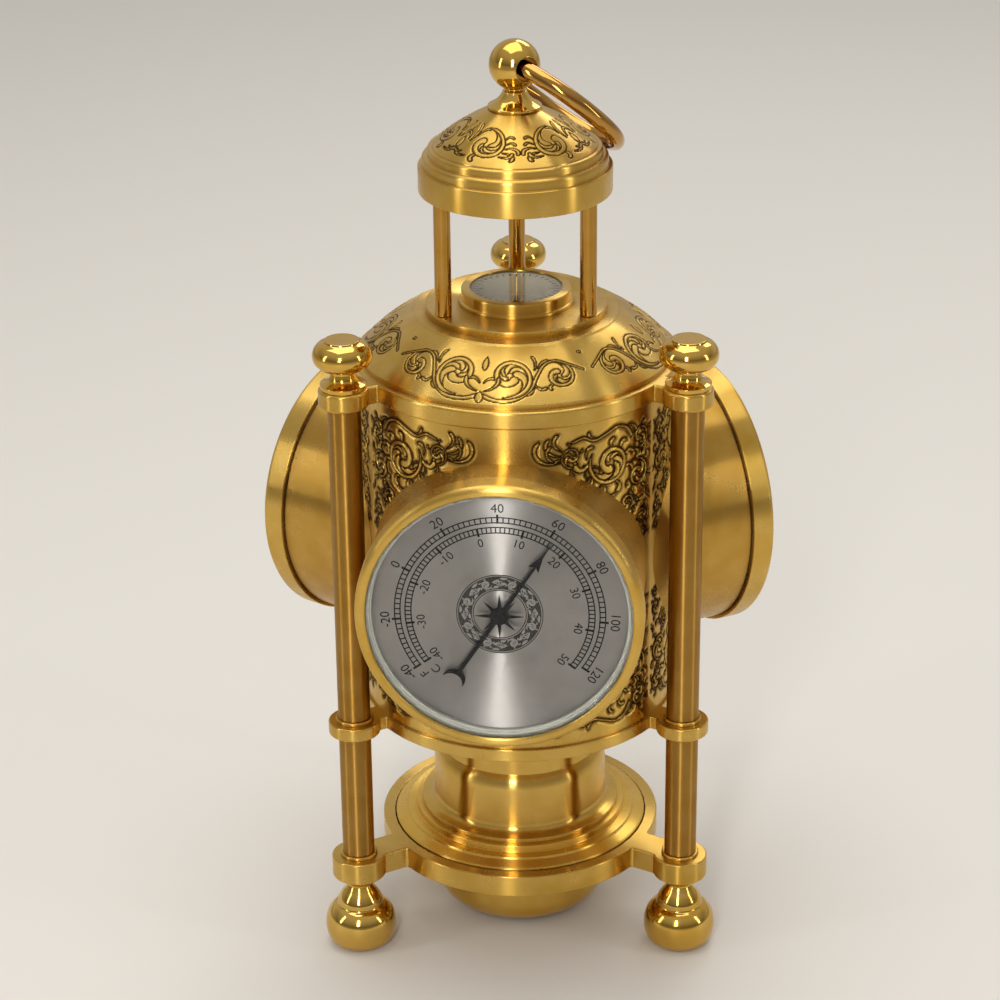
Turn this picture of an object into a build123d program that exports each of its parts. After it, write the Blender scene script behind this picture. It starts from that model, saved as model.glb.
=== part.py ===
from build123d import *
from math import acos, atan2, cos, degrees, hypot, radians, sin
import os

os.makedirs("parts", exist_ok=True)

# Weather station clock: a brass drum with three round instruments set into pods, standing on
# three ball-footed columns, under a small lantern that holds a compass and a ring handle.
# Millimetres, +Z up, front towards -Y, origin on the table under the middle of the drum.

# Clearances
part_gap = 0.3  # between pieces that move past each other
run_gap = 0.05  # radial, a shaft in its bush
hole_play = 0.15  # radial, a rod or tenon in its clearance hole

# Columns, feet and finials: three sets on one circle
column_names = ("back", "left", "right")
column_turn = 90.0  # where the first column stands; the others follow by thirds of a turn
column_radius = 4.25
ear_length = 7.7  # from the plates' rim to a column's axis
column_rod_radius = 2.0
washer_radius = 4.95
washer_thick = 0.9

foot_height = 21.2
foot_bun_radius = 9.55
foot_bun_height = 12.0
foot_pad_radius = 6.4
foot_dome_radius = 6.1
foot_neck_radius = 3.2
foot_neck_rise = 1.8
foot_neck_land = 0.5
foot_top_radius = 3.9
foot_top_thick = 1.6
foot_socket_depth = 9.0

finial_height = 12.9
finial_bun_radius = 7.6
finial_bun_height = 7.4
finial_base_radius = 5.9
finial_base_thick = 1.2
finial_neck_radius = 3.2
finial_neck_land = 0.9
finial_cap_radius = 4.6
finial_cap_rise = 0.45
finial_cap_slope = 0.2
finial_socket_depth = 6.0

# Base
base_thick = 6.1
base_ring_width = 3.2
base_arm_width = 9.0
base_arm_fillet = 1.5
base_eye_rim = 2.95
dish_radius = 34.1
dish_groove = 0.5
dish_recess = 4.0
dish_ledge = 4.0
dish_edge_rise = 0.5
dish_mid_radius = 31.0
dish_mid_rise = 2.0
dish_top_radius = 28.4
dish_top_rise = 3.9
cup_radius = 23.4
cup_wall = 2.5
cup_floor = 5.6
cup_table_gap = 2.6
cup_corner = 6.5
cup_nut_recess = 4.4

# Pedestal
pedestal_foot_radius = 26.9
pedestal_foot_thick = 1.3
pedestal_cove_height = 2.4
pedestal_body_radius = 23.4
pedestal_body_height = 13.0
pedestal_shoulder_height = 5.0
pedestal_neck_radius = 21.4
pedestal_wall = 2.0

# Plates and drum
lower_column_length = 37.4
lower_plate_thick = 3.6
lower_ear_rim = 2.6
upper_plate_thick = 4.8
upper_ear_rim = 2.2
ear_arm_width = 7.0
plate_overhang = 0.8
upper_plate_round = 1.3
drum_radius = 41.5
drum_wall = 1.5
drum_height = 89.6
drum_turn = -4.25  # the drum and its dials stand slightly turned against the columns

# Pods, the short tubes that carry the instruments
pod_names = ("thermometer", "barometer", "clock")
pod_spacing = 0.74  # from a pod to the plane midway to its neighbour
pod_wall = 1.6
pod_standout = 9.6
pod_lift = 0.4  # pod axis above the drum's middle

# Instrument inserts, one in each pod
bezel_overhang = 1.0
bezel_wall = 2.3
bezel_round = 1.6
bezel_back_lip = 0.8
bezel_front_width = 2.9
bezel_lip = 0.5
bezel_lip_slope = 0.4
glass_thick = 1.0
hand_space = 2.4
dial_thick = 0.8
dial_ring_width = 1.8
can_flange = 0.9
can_wall = 0.8
can_depths = {"thermometer": 9.0, "clock": 13.0, "barometer": 16.0}
arbor_radius = 0.75
arbor_depth = 5.0
hand_thick = 0.3
hand_lift = 0.5
hub_radius = 1.9
star_radius = 6.2
star_width = 1.5
star_root = 0.6

# Thermometer
pointer_angle = 33.0
pointer_length = 24.5
pointer_width = 1.0
pointer_tail = 19.4
pointer_barb = 16.4
pointer_barb_width = 3.0
pointer_barb_front = 3.2
pointer_barb_back = 0.8
moon_radius = 2.9
moon_bite = 1.5
moon_root = 0.9
coil_inner = 1.5
coil_spacing = 1.6
coil_strip = 0.4
coil_height = 3.0
coil_turns = 4
coil_gap = 0.6  # from the arbor's back end to the coil

# Barometer
barometer_angle = 18.0
baro_pointer_length = 23.5
baro_pointer_tail = 9.5
set_hand_length = 22.0
set_hand_angle = -14.0
set_knob_radius = 2.4
set_knob_height = 2.6
capsule_radius = 15.0
capsule_thick = 5.0
capsule_stud = 1.2

# Clock
hour_angle = 305.0
minute_angle = 54.0
hour_length = 14.5
minute_length = 22.5
hour_pipe_wall = 0.7
movement_width = 38.0
movement_depth = 11.0
rear_knob_radius = 3.2
rear_knob_height = 2.4

# Shoulder and lantern
shoulder_height = 11.9
shoulder_foot = 1.3
shoulder_foot_radius = 40.4
shoulder_top_radius = 26.7
shoulder_bulge = 0.9
shoulder_bore = 21.0
shoulder_wall = 2.2
floor_radius = 23.4
floor_rise = 2.0
floor_spigot = 2.2
post_circle_radius = 21.2
post_radius = 2.15
post_height = 30.1
tenon_radius = 1.3
tenon_length = 1.8
roof_radius = 24.64
roof_band = 6.7
roof_band_bevel = 0.4
roof_flange_width = 5.8
roof_flange_thick = 2.4
roof_wall = 1.5
roof_step_radii = (23.6, 22.1)
roof_step_levels = (1.5, 3.6)  # above the band, to where each step's round begins
roof_step_round = 1.2
roof_cone_foot = 5.0
roof_land_radius = 6.9
roof_height = 20.9
roof_arc_radius = 55.0

# Compass
compass_radius = 14.15
compass_height = 3.9
compass_flange = 0.55
compass_flange_thick = 0.7
compass_flange_slope = 0.3
compass_bevel = 0.5
compass_rim = 2.28
compass_lip = 0.3
compass_glass_thick = 1.0
compass_seat = 0.55
compass_wall = 0.9
compass_depth = 5.2
compass_card_thick = 0.8
compass_card_wall = 0.45
needle_length = 9.0
needle_width = 2.4
needle_thick = 0.3
needle_lift = 1.3
pivot_radius = 0.4
needle_cap_radius = 1.3

# Ball finial and ring handle
ball_radius = 6.45
ball_height = 11.2
ball_neck_radius = 2.35
ball_collar_radius = 3.1
ball_collar_height = 4.25
ball_collar_thick = 0.35
ball_collar_slope = 0.4
ball_foot_radius = 6.85
ball_foot_thick = 0.9
ball_stud_length = 8.0
handle_angle = 33.0  # how far the hinge axis is turned from the front towards +X
handle_radius = 17.8
handle_wire_radius = 2.1
handle_play = 0.9

# Tie rod and nuts
rod_radius = 2.0
nut_width = 7.0
nut_thick = 3.2
rod_end = 1.6

# Levels, from the table upwards
base_bottom = foot_height
base_top = base_bottom + base_thick
dish_bottom = base_top - dish_recess
dish_top = base_top + dish_top_rise
lower_plate_bottom = base_top + lower_column_length
lower_plate_top = lower_plate_bottom + lower_plate_thick
upper_plate_bottom = lower_plate_top + drum_height
upper_plate_top = upper_plate_bottom + upper_plate_thick
shoulder_top = upper_plate_top + shoulder_height
floor_top = shoulder_top + floor_rise
roof_bottom = floor_top + post_height
roof_top = roof_bottom + roof_height
ball_level = roof_top + ball_height
pod_level = (lower_plate_top + upper_plate_bottom) / 2 + pod_lift

# Radii and distances that follow from the sizes above
plate_radius = drum_radius + plate_overhang
column_circle = plate_radius + ear_length
base_recess_radius = dish_radius + dish_groove
base_radius = base_recess_radius + base_ring_width
base_bore = dish_radius - dish_ledge
base_eye_radius = column_radius + base_eye_rim
lower_ear_radius = column_radius + lower_ear_rim
upper_ear_radius = column_radius + upper_ear_rim
pod_radius = drum_radius * sin(radians(60)) - pod_spacing
pod_bore = pod_radius - pod_wall
pod_end = drum_radius + pod_standout
bezel_radius = pod_radius + bezel_overhang
bezel_seat = bezel_radius - bezel_wall
can_radius = pod_bore - part_gap
bezel_back = pod_end + part_gap
flange_back = bezel_back + bezel_back_lip
dial_back = flange_back + can_flange
dial_front = dial_back + dial_thick
glass_back = dial_front + hand_space
glass_front = glass_back + glass_thick
bezel_front = glass_front + bezel_lip
compass_top = floor_top + compass_height
compass_bottom = floor_top - compass_depth
rod_hole = rod_radius + hole_play


def column_place(name):
    """The foot of a column's axis on the table."""
    angle = radians(column_turn + 120 * column_names.index(name))
    return (column_circle * cos(angle), column_circle * sin(angle), 0)


def column_profile_plane(name):
    """Profiles drawn here have x as the radius from the column's axis and y as the height."""
    return Plane(origin=column_place(name), x_dir=(1, 0, 0), z_dir=(0, -1, 0))


def column_axis(name):
    """A column's own axis."""
    return Axis(column_place(name), (0, 0, 1))


def pod_outward(name):
    """The direction that a pod's dial faces."""
    angle = radians(column_turn + 180 + drum_turn + 120 * pod_names.index(name))
    return Vector(cos(angle), sin(angle), 0)


def pod_sideways(name):
    """To the right of someone who looks at the pod's dial."""
    outward = pod_outward(name)
    return Vector(-outward.Y, outward.X, 0)


def pod_plane(name, distance, turn=0):
    """A plane across a pod's axis, y up, turned clockwise as the dial is read."""
    centre = pod_outward(name) * distance + Vector(0, 0, pod_level)
    across = pod_sideways(name) * cos(radians(turn)) - Vector(0, 0, sin(radians(turn)))
    return Plane(origin=centre, x_dir=across, z_dir=pod_outward(name))


def pod_profile_plane(name):
    """Profiles drawn here have x as the radius and y as the distance from the drum's axis."""
    return Plane(origin=(0, 0, pod_level), x_dir=pod_sideways(name), z_dir=(0, 0, -1))


def pod_axis(name):
    """The axis that a pod and its hands turn about."""
    return Axis((0, 0, pod_level), pod_outward(name))


# Base plate: a ring with a seat for the dish and three arms that end in eyes
column_places = [column_place(name) for name in column_names]
arm_reach = column_circle - base_eye_radius - base_radius
with BuildPart() as base_plate:
    with BuildSketch(Plane.XY.offset(base_bottom)) as base_outline:
        Circle(base_radius)
        with PolarLocations(column_circle / 2 + base_radius / 2, 3, column_turn):
            Rectangle(column_circle - base_radius + base_ring_width, base_arm_width)
        fillet(base_outline.vertices().filter_by(lambda v: hypot(v.X, v.Y) < base_radius + part_gap),
               min(base_arm_fillet, arm_reach * 0.4))
        with PolarLocations(column_circle, 3, column_turn):
            Circle(base_eye_radius)
    extrude(amount=base_thick)
    with BuildSketch(Plane.XY.offset(base_top)):
        Circle(base_recess_radius)
    extrude(amount=-dish_recess, mode=Mode.SUBTRACT)
    with BuildSketch(Plane.XY.offset(base_top)):
        Circle(base_bore)
        with PolarLocations(column_circle, 3, column_turn):
            Circle(column_rod_radius + hole_play)
    extrude(amount=-base_thick, mode=Mode.SUBTRACT)
base_plate.part.label = "base_plate"
export_step(base_plate.part, "parts/base_plate.step")

# Base dish: the stepped turned disc inside the ring
with BuildPart() as base_dish:
    with BuildSketch(Plane.XZ):
        with BuildLine():
            Polyline((rod_hole, dish_bottom), (dish_radius, dish_bottom),
                     (dish_radius, base_top + dish_edge_rise * 0.4),
                     (dish_radius - dish_edge_rise * 0.6, base_top + dish_edge_rise),
                     (dish_mid_radius, base_top + dish_mid_rise * 0.75),
                     (dish_mid_radius, base_top + dish_mid_rise),
                     (dish_top_radius, base_top + dish_mid_rise),
                     (dish_top_radius, dish_top),
                     (rod_hole, dish_top), close=True)
        make_face()
    revolve(axis=Axis.Z)
base_dish.part.label = "base_dish"
export_step(base_dish.part, "parts/base_dish.step")

# Under cup: the round-bottomed weight below the base, with a recess for the tie rod's nut
cup_bottom = cup_table_gap
cup_inner = cup_radius - cup_wall
nut_recess_radius = nut_width / 2 / cos(radians(30)) + 2 * part_gap
with BuildPart() as under_cup:
    with BuildSketch(Plane.XZ):
        with BuildLine():
            Polyline((rod_hole, cup_bottom + cup_nut_recess), (nut_recess_radius, cup_bottom + cup_nut_recess),
                     (nut_recess_radius, cup_bottom), (cup_radius - cup_corner, cup_bottom))
            RadiusArc((cup_radius - cup_corner, cup_bottom), (cup_radius, cup_bottom + cup_corner), -cup_corner)
            Polyline((cup_radius, cup_bottom + cup_corner), (cup_radius, dish_bottom), (cup_inner, dish_bottom),
                     (cup_inner, cup_bottom + cup_corner), (cup_inner - cup_corner / 2, cup_bottom + cup_floor),
                     (rod_hole, cup_bottom + cup_floor), (rod_hole, cup_bottom + cup_nut_recess))
        make_face()
    revolve(axis=Axis.Z)
under_cup.part.label = "under_cup"
export_step(under_cup.part, "parts/under_cup.step")

# Pedestal: a turned shell with a flared foot, a straight body and a narrower neck
foot_top = dish_top + pedestal_foot_thick
body_top = dish_top + pedestal_body_height
shoulder_level = body_top + pedestal_shoulder_height
pedestal_inner = pedestal_neck_radius - pedestal_wall
with BuildPart() as pedestal:
    with BuildSketch(Plane.XZ):
        with BuildLine():
            Polyline((pedestal_inner, dish_top), (pedestal_foot_radius, dish_top),
                     (pedestal_foot_radius, foot_top))
            Spline((pedestal_foot_radius, foot_top), (pedestal_body_radius, foot_top + pedestal_cove_height),
                   tangents=((-1, 0.1), (0, 1)))
            Line((pedestal_body_radius, foot_top + pedestal_cove_height), (pedestal_body_radius, body_top))
            Spline((pedestal_body_radius, body_top), (pedestal_neck_radius, shoulder_level),
                   tangents=((0, 1), (-1, 0.6)))
            Polyline((pedestal_neck_radius, shoulder_level), (pedestal_neck_radius, lower_plate_bottom),
                     (pedestal_inner, lower_plate_bottom), (pedestal_inner, dish_top))
        make_face()
    revolve(axis=Axis.Z)
pedestal.part.label = "pedestal"
export_step(pedestal.part, "parts/pedestal.step")

# Feet: a bun with a dome and a narrow neck, tapped for the column's rod
bun_middle = foot_bun_height * 0.55
neck_level = foot_height - foot_top_thick - foot_neck_rise
for name in column_names:
    with BuildPart() as foot:
        with BuildSketch(column_profile_plane(name)):
            with BuildLine():
                Polyline((0, foot_height - foot_socket_depth), (0, 0), (foot_pad_radius, 0))
                Spline((foot_pad_radius, 0), (foot_bun_radius, bun_middle), (foot_dome_radius, foot_bun_height),
                       tangents=((1, 0.45), (-1, 0.35)))
                Spline((foot_dome_radius, foot_bun_height), (foot_neck_radius, neck_level),
                       tangents=((-0.2, 1), (-0.8, 1)))
                Polyline((foot_neck_radius, neck_level), (foot_neck_radius, neck_level + foot_neck_land),
                         (foot_top_radius, foot_height - foot_top_thick), (foot_top_radius, foot_height),
                         (column_rod_radius, foot_height),
                         (column_rod_radius, foot_height - foot_socket_depth),
                         (0, foot_height - foot_socket_depth))
            make_face()
        revolve(axis=column_axis(name))
    foot.part.label = f"foot_{name}"
    export_step(foot.part, f"parts/foot_{name}.step")

# Columns: a short tube under the lower plate and a long one beside the drum
for name in column_names:
    place = column_place(name)
    with BuildPart() as lower_column:
        with BuildSketch(Plane(origin=place).offset(base_top + washer_thick)):
            Circle(column_radius)
            Circle(column_rod_radius + hole_play, mode=Mode.SUBTRACT)
        extrude(amount=lower_column_length - washer_thick)
    lower_column.part.label = f"lower_column_{name}"
    export_step(lower_column.part, f"parts/lower_column_{name}.step")

    with BuildPart() as upper_column:
        with BuildSketch(Plane(origin=place).offset(lower_plate_top + washer_thick)):
            Circle(column_radius)
            Circle(column_rod_radius + hole_play, mode=Mode.SUBTRACT)
        extrude(amount=drum_height - washer_thick)
    upper_column.part.label = f"upper_column_{name}"
    export_step(upper_column.part, f"parts/upper_column_{name}.step")

# Washers under the columns' ends, six alike
with BuildPart() as column_washers:
    for level in (base_top, lower_plate_top):
        with BuildSketch(Plane.XY.offset(level)):
            with Locations(*column_places):
                Circle(washer_radius)
                Circle(column_rod_radius + hole_play, mode=Mode.SUBTRACT)
        extrude(amount=washer_thick)
column_washers.part.label = "column_washers"
export_step(column_washers.part, "parts/column_washers.step")

# Rods that clamp each foot, column and finial together, three alike
with BuildPart() as column_rods:
    with BuildSketch(Plane.XY.offset(foot_height - foot_socket_depth)):
        with Locations(*column_places):
            Circle(column_rod_radius)
    extrude(amount=foot_socket_depth + upper_plate_top - foot_height + finial_socket_depth)
column_rods.part.label = "column_rods"
export_step(column_rods.part, "parts/column_rods.step")

# Finials: a flattened bun with a small cap on a waisted neck
for name in column_names:
    bun_top = upper_plate_top + finial_height - finial_cap_rise
    bun_bottom = bun_top - finial_bun_height
    socket_top = upper_plate_top + finial_socket_depth
    with BuildPart() as finial:
        with BuildSketch(column_profile_plane(name)):
            with BuildLine():
                Polyline((column_rod_radius, socket_top), (column_rod_radius, upper_plate_top),
                         (finial_base_radius, upper_plate_top),
                         (finial_base_radius, upper_plate_top + finial_base_thick))
                Spline((finial_base_radius, upper_plate_top + finial_base_thick),
                       (finial_neck_radius, bun_bottom - finial_neck_land), tangents=((-1, 0.25), (0, 1)))
                Line((finial_neck_radius, bun_bottom - finial_neck_land), (finial_neck_radius, bun_bottom))
                Spline((finial_neck_radius, bun_bottom),
                       (finial_bun_radius, bun_bottom + finial_bun_height / 2),
                       (finial_cap_radius, bun_top), tangents=((1, 0.1), (-1, 0.22)))
                Polyline((finial_cap_radius, bun_top),
                         (finial_cap_radius - finial_cap_slope, bun_top + finial_cap_rise),
                         (0, bun_top + finial_cap_rise), (0, socket_top), (column_rod_radius, socket_top))
            make_face()
        revolve(axis=column_axis(name))
    finial.part.label = f"finial_{name}"
    export_step(finial.part, f"parts/finial_{name}.step")

# Lower and upper plates: discs with three ears for the columns
with BuildPart() as lower_plate:
    with BuildSketch(Plane.XY.offset(lower_plate_bottom)):
        Circle(plate_radius)
        with PolarLocations(column_circle - ear_length / 2, 3, column_turn):
            Rectangle(ear_length * 1.25, ear_arm_width)
        with PolarLocations(column_circle, 3, column_turn):
            Circle(lower_ear_radius)
            Circle(column_rod_radius + hole_play, mode=Mode.SUBTRACT)
        Circle(rod_hole, mode=Mode.SUBTRACT)
    extrude(amount=lower_plate_thick)
lower_plate.part.label = "lower_plate"
export_step(lower_plate.part, "parts/lower_plate.step")

with BuildPart() as upper_plate:
    with BuildSketch(Plane.XY.offset(upper_plate_bottom)):
        Circle(plate_radius)
    extrude(amount=upper_plate_thick)
    fillet(upper_plate.edges().filter_by(GeomType.CIRCLE).sort_by(Axis.Z)[-1],
           min(upper_plate_round, upper_plate_thick * 0.4))
    with BuildSketch(Plane.XY.offset(upper_plate_bottom)):
        with PolarLocations(column_circle - ear_length / 2, 3, column_turn):
            Rectangle(ear_length * 1.25, ear_arm_width)
        with PolarLocations(column_circle, 3, column_turn):
            Circle(upper_ear_radius)
    extrude(amount=upper_plate_thick)
    with BuildSketch(Plane.XY.offset(upper_plate_bottom)):
        Circle(rod_hole)
        with PolarLocations(column_circle, 3, column_turn):
            Circle(column_rod_radius + hole_play)
    extrude(amount=upper_plate_thick, mode=Mode.SUBTRACT)
upper_plate.part.label = "upper_plate"
export_step(upper_plate.part, "parts/upper_plate.step")

# Drum case: a thin tube with three round openings for the instruments
with BuildPart() as drum_case:
    with BuildSketch(Plane.XY.offset(lower_plate_top)):
        Circle(drum_radius)
        Circle(drum_radius - drum_wall, mode=Mode.SUBTRACT)
    extrude(amount=drum_height)
    for name in pod_names:
        with BuildSketch(pod_plane(name, pod_end)):
            Circle(pod_bore)
        extrude(amount=-pod_end, mode=Mode.SUBTRACT)
drum_case.part.label = "drum_case"
export_step(drum_case.part, "parts/drum_case.step")

# Pods: short tubes whose inner ends are saddle-cut to the drum
for name in pod_names:
    with BuildPart() as pod:
        with BuildSketch(pod_plane(name, pod_end)):
            Circle(pod_radius)
        extrude(amount=-pod_end)
        with BuildSketch(Plane.XY.offset(lower_plate_top)):
            Circle(drum_radius)
        extrude(amount=drum_height, mode=Mode.SUBTRACT)
        with BuildSketch(pod_plane(name, pod_end)):
            Circle(pod_bore)
        extrude(amount=-pod_end, mode=Mode.SUBTRACT)
    pod.part.label = f"{name}_pod"
    export_step(pod.part, f"parts/{name}_pod.step")

# Bezels, glasses, dials, dial rings and cans: the same stack in each pod
bezel_lip_radius = bezel_radius - bezel_front_width
for name in pod_names:
    with BuildPart() as bezel:
        with BuildSketch(pod_profile_plane(name)):
            with BuildLine():
                Line((bezel_seat, bezel_back), (bezel_radius, bezel_back))
                Line((bezel_radius, bezel_back), (bezel_radius, bezel_front - bezel_round))
                RadiusArc((bezel_radius, bezel_front - bezel_round),
                          (bezel_radius - bezel_round, bezel_front), -bezel_round)
                Polyline((bezel_radius - bezel_round, bezel_front),
                         (bezel_lip_radius + bezel_lip_slope, bezel_front), (bezel_lip_radius, glass_front),
                         (bezel_seat, glass_front), (bezel_seat, bezel_back))
            make_face()
        revolve(axis=pod_axis(name))
    bezel.part.label = f"{name}_bezel"
    export_step(bezel.part, f"parts/{name}_bezel.step")

    with BuildPart() as glass:
        with BuildSketch(pod_plane(name, glass_back)):
            Circle(bezel_seat)
            if name == "barometer":
                Circle(arbor_radius + run_gap, mode=Mode.SUBTRACT)
        extrude(amount=glass_thick)
    glass.part.label = f"{name}_glass"
    export_step(glass.part, f"parts/{name}_glass.step")

    with BuildPart() as dial_ring:
        with BuildSketch(pod_plane(name, dial_front)):
            Circle(bezel_seat)
            Circle(bezel_seat - dial_ring_width, mode=Mode.SUBTRACT)
        extrude(amount=hand_space)
    dial_ring.part.label = f"{name}_dial_ring"
    export_step(dial_ring.part, f"parts/{name}_dial_ring.step")

    bush = arbor_radius + run_gap
    if name == "clock":
        bush = bush + hour_pipe_wall + run_gap
    with BuildPart() as dial:
        with BuildSketch(pod_plane(name, dial_back)):
            Circle(bezel_seat)
            Circle(bush, mode=Mode.SUBTRACT)
        extrude(amount=dial_thick)
    dial.part.label = f"{name}_dial"
    export_step(dial.part, f"parts/{name}_dial.step")

    can_back = flange_back - can_depths[name]
    with BuildPart() as can:
        with BuildSketch(pod_plane(name, dial_back)):
            Circle(bezel_seat)
        extrude(amount=-can_flange)
        with BuildSketch(pod_plane(name, flange_back)):
            Circle(can_radius)
        extrude(amount=-can_depths[name])
        with BuildSketch(pod_plane(name, dial_back)):
            Circle(can_radius - can_wall)
        extrude(amount=can_back + can_wall - dial_back, mode=Mode.SUBTRACT)
        if name == "clock":
            with BuildSketch(pod_plane(name, dial_back)):
                Circle(arbor_radius + run_gap)
            extrude(amount=can_back - dial_back, mode=Mode.SUBTRACT)
    can.part.label = f"{name}_can"
    export_step(can.part, f"parts/{name}_can.step")

# Thermometer pointer: a thin arrow with a star at the hub and a crescent on its tail
hand_level = dial_front + hand_lift
pointer_level = hand_level + 2 * hand_thick
arbor_back = dial_back - arbor_depth
with BuildPart() as thermometer_pointer:
    with BuildSketch(pod_plane("thermometer", arbor_back)):
        Circle(arbor_radius)
    extrude(amount=pointer_level - arbor_back)
    with BuildSketch(pod_plane("thermometer", pointer_level, pointer_angle)) as pointer_outline:
        with BuildLine():
            Polyline((pointer_width / 2, 0), (pointer_width / 3, pointer_barb),
                     (pointer_barb_width / 2, pointer_barb - pointer_barb_back),
                     (pointer_width / 3, pointer_barb + pointer_barb_front), (0, pointer_length),
                     (-pointer_width / 3, pointer_barb + pointer_barb_front),
                     (-pointer_barb_width / 2, pointer_barb - pointer_barb_back),
                     (-pointer_width / 3, pointer_barb),
                     (-pointer_width / 2, 0), (-pointer_width / 2, -pointer_tail),
                     (pointer_width / 2, -pointer_tail), close=True)
        make_face()
        with Locations((0, moon_root - pointer_tail - moon_radius)):
            Circle(moon_radius)
        with Locations((0, moon_root - pointer_tail - moon_radius - moon_bite)):
            Circle(moon_radius, mode=Mode.SUBTRACT)
    extrude(amount=hand_thick)
    with BuildSketch(pod_plane("thermometer", pointer_level)):
        Circle(hub_radius * 1.25)
        for reach, turn in ((star_radius, 0), (star_radius * 0.88, 45)):
            with PolarLocations(0, 4, turn):
                Polygon((star_root, -star_width / 2), (reach, 0), (star_root, star_width / 2), align=None)
    extrude(amount=hand_thick)
    with BuildSketch(pod_plane("thermometer", pointer_level + hand_thick)):
        Circle(hub_radius * 0.6)
    extrude(amount=hand_thick)
thermometer_pointer.part.label = "thermometer_pointer"
export_step(thermometer_pointer.part, "parts/thermometer_pointer.step")

# Bimetal coil: a flat strip wound in half turns, with a foot on the can's floor
thermometer_floor = flange_back - can_depths["thermometer"] + can_wall
coil_level = dial_back - arbor_depth + coil_gap
coil_middle = coil_level + coil_height / 2
coil_plane = pod_plane("thermometer", coil_middle)
with BuildPart() as bimetal_coil:
    with BuildLine(coil_plane) as coil_path:
        for half in range(2 * coil_turns):
            radius = coil_inner + coil_strip / 2 + coil_spacing * half / 2
            shift = 0 if half % 2 == 0 else -coil_spacing / 2
            CenterArc((shift, 0), radius, 180 * (half % 2), 180)
    with BuildSketch(Plane(origin=coil_path.line @ 0, x_dir=pod_sideways("thermometer"),
                           z_dir=coil_path.line % 0)):
        Rectangle(coil_strip, coil_height)
    sweep()
    coil_end = coil_plane.to_local_coords(coil_path.line @ 1)
    with BuildSketch(pod_plane("thermometer", thermometer_floor)):
        with Locations((coil_end.X, coil_end.Y)):
            Circle(coil_strip * 1.6)
    extrude(amount=coil_level + coil_height - thermometer_floor)
bimetal_coil.part.label = "bimetal_coil"
export_step(bimetal_coil.part, "parts/bimetal_coil.step")

# Barometer pointer: a leaf-shaped steel hand with a ring on its tail
with BuildPart() as barometer_pointer:
    with BuildSketch(pod_plane("barometer", arbor_back)):
        Circle(arbor_radius)
    extrude(amount=hand_level - arbor_back)
    with BuildSketch(pod_plane("barometer", hand_level, barometer_angle)):
        Circle(hub_radius)
        with BuildLine():
            Polyline((pointer_width / 2, -baro_pointer_tail),
                     (pointer_width / 2, baro_pointer_length * 0.55),
                     (pointer_width * 1.3, baro_pointer_length * 0.72), (0, baro_pointer_length),
                     (-pointer_width * 1.3, baro_pointer_length * 0.72),
                     (-pointer_width / 2, baro_pointer_length * 0.55),
                     (-pointer_width / 2, -baro_pointer_tail), close=True)
        make_face()
        with Locations((0, -baro_pointer_tail - moon_radius * 0.7)):
            Circle(moon_radius * 0.8)
            Circle(moon_radius * 0.4, mode=Mode.SUBTRACT)
    extrude(amount=hand_thick)
barometer_pointer.part.label = "barometer_pointer"
export_step(barometer_pointer.part, "parts/barometer_pointer.step")

# Barometer set hand: turned by the knob in front of the glass, to mark the last reading
set_level = glass_back - hand_thick - part_gap
with BuildPart() as barometer_set_hand:
    with BuildSketch(pod_plane("barometer", set_level, set_hand_angle)):
        Circle(hub_radius * 0.9)
        with BuildLine():
            Polyline((pointer_width / 2, -hub_radius * 2.5), (pointer_width / 3, set_hand_length),
                     (-pointer_width / 3, set_hand_length), (-pointer_width / 2, -hub_radius * 2.5),
                     close=True)
        make_face()
    extrude(amount=hand_thick)
    with BuildSketch(pod_plane("barometer", set_level)):
        Circle(arbor_radius)
    extrude(amount=glass_front + part_gap - set_level)
    with BuildSketch(pod_plane("barometer", glass_front + part_gap)):
        Circle(set_knob_radius)
    extrude(amount=set_knob_height)
    fillet(barometer_set_hand.faces().sort_by(pod_axis("barometer"))[-1].edges(), set_knob_height * 0.25)
barometer_set_hand.part.label = "barometer_set_hand"
export_step(barometer_set_hand.part, "parts/barometer_set_hand.step")

# Aneroid capsule: a corrugated sealed box on a stud at the can's floor
barometer_floor = flange_back - can_depths["barometer"] + can_wall
capsule_front = barometer_floor + capsule_stud + capsule_thick
ridge = capsule_radius / 5
with BuildPart() as aneroid_capsule:
    with BuildSketch(pod_plane("barometer", barometer_floor)):
        Circle(arbor_radius * 2)
    extrude(amount=capsule_stud)
    with BuildSketch(pod_plane("barometer", barometer_floor + capsule_stud)):
        Circle(capsule_radius)
    extrude(amount=capsule_thick)
    with BuildSketch(pod_plane("barometer", capsule_front)):
        for step in (2, 3, 4):
            Circle(ridge * step)
            Circle(ridge * step - ridge / 2, mode=Mode.SUBTRACT)
    extrude(amount=-capsule_thick * 0.12, mode=Mode.SUBTRACT)
    with BuildSketch(pod_plane("barometer", capsule_front)):
        Circle(arbor_radius * 1.6)
    extrude(amount=capsule_stud)
aneroid_capsule.part.label = "aneroid_capsule"
export_step(aneroid_capsule.part, "parts/aneroid_capsule.step")

# Clock movement: a square module behind the dial, bored for the hands' arbors
pipe_bore = arbor_radius + run_gap
pipe_radius = pipe_bore + hour_pipe_wall
clock_can_back = flange_back - can_depths["clock"]
with BuildPart() as clock_movement:
    with BuildSketch(pod_plane("clock", dial_back)):
        RectangleRounded(movement_width, movement_width, movement_width * 0.08)
    extrude(amount=-movement_depth)
    with BuildSketch(pod_plane("clock", dial_back)):
        Circle(pipe_radius + run_gap)
    extrude(amount=-arbor_depth, mode=Mode.SUBTRACT)
    with BuildSketch(pod_plane("clock", dial_back)):
        Circle(pipe_bore)
    extrude(amount=-movement_depth, mode=Mode.SUBTRACT)
clock_movement.part.label = "clock_movement"
export_step(clock_movement.part, "parts/clock_movement.step")

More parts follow.
